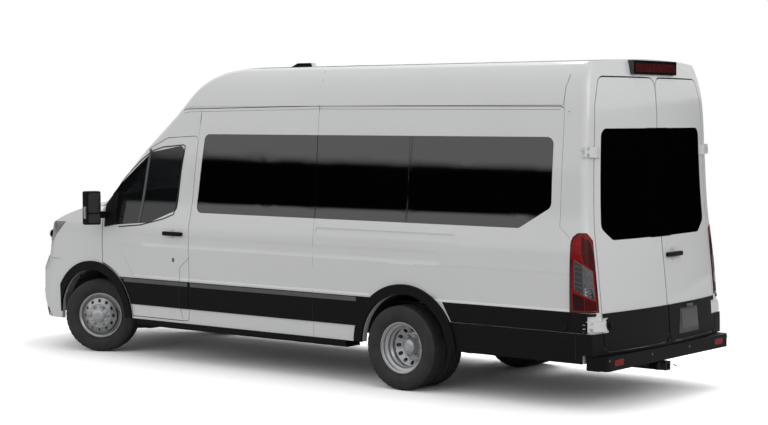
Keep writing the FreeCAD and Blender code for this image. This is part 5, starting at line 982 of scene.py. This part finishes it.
for side in (1, -1):
    x = RAIL_X * side
    add_tube(lining, [(x, -0.7, RAIL_Z), (x, 2.7, RAIL_Z)], 0.014, 10)
    for y in (-0.6, 0.5, 1.6, 2.6):
        add_tube(lining, [(x, y, RAIL_Z), (0.65 * side, y, 2.57)], 0.010)
made("ceiling_rails", lining, DASH)
mats = bmesh.new()
under_mat = FLOOR_TOP + 0.0005
add_block(mats, (-0.82, -0.85, under_mat), (0.82, 2.85, 0.705), 0.002)
for x in (FRONT_X, -FRONT_X):
    add_block(mats, (x - 0.22, -1.50, under_mat), (x + 0.22, -1.12, 0.708), 0.003)
made("floor_mats", mats, CARPET)


# Underside

under = bmesh.new()
for side in (1, -1):
    for step in range(16):
        add_bolt(under, (0.478 * side, -2.4 + step * 0.35, 0.60), (side, 0, 0), 0.009, 0.007)
    add_tube(under, spaced([(0.52 * side, 1.62, 0.40), (0.50 * side, 1.78, 0.66)], 0.1), 0.028, 14)
    add_tube(under, [(0.52 * side, 1.60, 0.38), (0.52 * side, 1.64, 0.43)], 0.014, 10)
    for x in (-0.03, 0.03):
        for y in (1.36, 1.48):
            add_tube(under, [(0.58 * side + x, y, 0.26), (0.58 * side + x, y, 0.50)], 0.007)
    add_tube(under, spaced([(0.45 * side, -2.0, 0.52), (0.46 * side, 0.4, 0.53),
                            (0.46 * side, 1.3, 0.56)], 0.2), 0.006, 6)
for y in (-1.9, -0.9, 0.1, 1.0):
    add_tube(under, [(-0.24, y, 0.47), (-0.24, y, 0.66)], 0.006, 6)
made("under_details", under, CHASSIS)
cable = bmesh.new()
path = spaced([(0.12, 3.22, 0.29), (0.14, 3.12, 0.36), (0.30, 3.02, 0.45), (0.42, 2.9, 0.52)], 0.03)
add_tube(cable, path, 0.006, 8)
made("hitch_cable", cable, RUBBER)
engine = bmesh.new()
add_block(engine, (-0.18, -2.85, 1.06), (0.18, -2.35, 1.12), 0.03, rounds=3)
for step in range(5):
    y = -2.8 + step * 0.1
    add_tube(engine, [(-0.14, y, 1.125), (0.14, y, 1.125)], 0.008)
made("engine_cover", engine, PLASTIC)


# Floor, light and camera

FLOOR_SEEN = 1.4
FLOOR_REAL = 0.45
FLOOR_HALF = 60
PALE_WIDE, PALE_LONG = 4.2, 5.6
PALE_UNTIL = 0.62


def blend(tree, share, first, second):
    """Mix of two shaders by a share."""
    node = add_node(tree, "MixShader")
    for socket, source in zip(node.inputs, (share, first, second)):
        tree.links.new(source, socket)
    return node.outputs[0]


def stage_floor():
    """Pale floor that goes over to plain white away from the vehicle, seen by the camera only."""
    mesh = bpy.data.meshes.new("studio_floor")
    corners = [(x * FLOOR_HALF, y * FLOOR_HALF, 0) for x, y in ((-1, -1), (1, -1), (1, 1), (-1, 1))]
    mesh.from_pydata(corners, [], [(0, 1, 2, 3)])
    floor = placed("studio_floor", mesh)
    look = bpy.data.materials.new("floor_pale")
    look.use_nodes = True
    tree = look.node_tree
    link = tree.links.new
    tree.nodes.clear()
    out = add_node(tree, "OutputMaterial")
    seen = add_node(tree, "BsdfDiffuse", Color=(FLOOR_SEEN, FLOOR_SEEN, FLOOR_SEEN, 1))
    real = add_node(tree, "BsdfDiffuse", Color=(FLOOR_REAL, FLOOR_REAL, FLOOR_REAL, 1))
    plain = add_node(tree, "Emission")
    where = add_node(tree, "TexCoord")
    shift = add_node(tree, "VectorMath")
    shift.operation = "MULTIPLY"
    shift.inputs[1].default_value = (1 / PALE_WIDE, 1 / PALE_LONG, 0)
    link(where.outputs["Object"], shift.inputs[0])
    reach = add_node(tree, "VectorMath")
    reach.operation = "LENGTH"
    link(shift.outputs[0], reach.inputs[0])
    fade = add_node(tree, "MapRange", From_Min=PALE_UNTIL, From_Max=1.0)
    fade.interpolation_type = "SMOOTHSTEP"
    link(reach.outputs["Value"], fade.inputs["Value"])
    near = blend(tree, fade.outputs["Result"], seen.outputs[0], plain.outputs[0])
    path = add_node(tree, "LightPath")
    last = blend(tree, path.outputs["Is Camera Ray"], real.outputs[0], near)
    link(last, out.inputs["Surface"])
    mesh.materials.append(look)


def area(name, place, aim, size, power, glossy=True):
    """Soft light of the given size; glossy=False keeps it out of reflections."""
    lamp = bpy.data.lights.new(name, "AREA")
    lamp.shape = "RECTANGLE"
    lamp.size, lamp.size_y = size
    lamp.energy = power
    item = placed(name, lamp)
    item.location = place
    item.rotation_euler = (Vector(aim) - Vector(place)).to_track_quat("-Z", "Y").to_euler()
    item.visible_glossy = glossy


stage_floor()
area("top_light", (-3.6, 0.8, 8.0), (0, 0, 1), (4, 10), 560)
area("side_light", (10.0, -1.5, 5.5), (0, -0.5, 1.2), (14, 5), 112, glossy=False)
area("rear_light", (1.5, 10.0, 5.0), (0, 2.5, 1.2), (7, 4), 150)
area("front_light", (8.0, -9.0, 4.0), (0.8, -2.4, 1.0), (5, 4), 70, glossy=False)

SKY_EDGE = (0.535, 0.545)
SKY_WHITE = 0.9
SKY_STRENGTH = 0.80
world = bpy.data.worlds.new("studio")
bpy.context.scene.world = world
world.use_nodes = True
tree = world.node_tree
tree.nodes.clear()
out = add_node(tree, "OutputWorld")
path = add_node(tree, "LightPath")
white = add_node(tree, "Background", Color=(1, 1, 1, 1), Strength=1.0)
where = add_node(tree, "TexCoord")
split = add_node(tree, "SeparateXYZ")
tree.links.new(where.outputs["Generated"], split.inputs["Vector"])
ramp = add_node(tree, "ValToRGB")
for step, position, bright in zip(ramp.color_ramp.elements, SKY_EDGE, (0.0, SKY_WHITE)):
    step.position = position
    step.color = (bright, bright, bright, 1)
rise = add_node(tree, "MapRange", From_Min=-1)
tree.links.new(split.outputs["Z"], rise.inputs["Value"])
tree.links.new(rise.outputs["Result"], ramp.inputs["Fac"])
sky = add_node(tree, "Background", Strength=SKY_STRENGTH)
tree.links.new(ramp.outputs["Color"], sky.inputs["Color"])
mixed = blend(tree, path.outputs["Is Camera Ray"], sky.outputs[0], white.outputs[0])
tree.links.new(mixed, out.inputs["Surface"])

CAMERA_PLACE = (12.1806, 10.0955, 2.2324)
CAMERA_YAW, CAMERA_PITCH = 51.583, 3.133
LENS_LENGTH, SENSOR_WIDE = 81.45, 36
camera_data = bpy.data.cameras.new("camera")
camera = placed("camera", camera_data)
camera_data.sensor_width = SENSOR_WIDE
camera_data.lens = LENS_LENGTH
camera.location = CAMERA_PLACE
yaw, pitch = math.radians(CAMERA_YAW), math.radians(CAMERA_PITCH)
aim = Vector((-math.sin(yaw) * math.cos(pitch), -math.cos(yaw) * math.cos(pitch), -math.sin(pitch)))
camera.rotation_euler = aim.to_track_quat("-Z", "Y").to_euler()
bpy.context.scene.camera = camera
bpy.context.scene.view_settings.view_transform = "Standard"
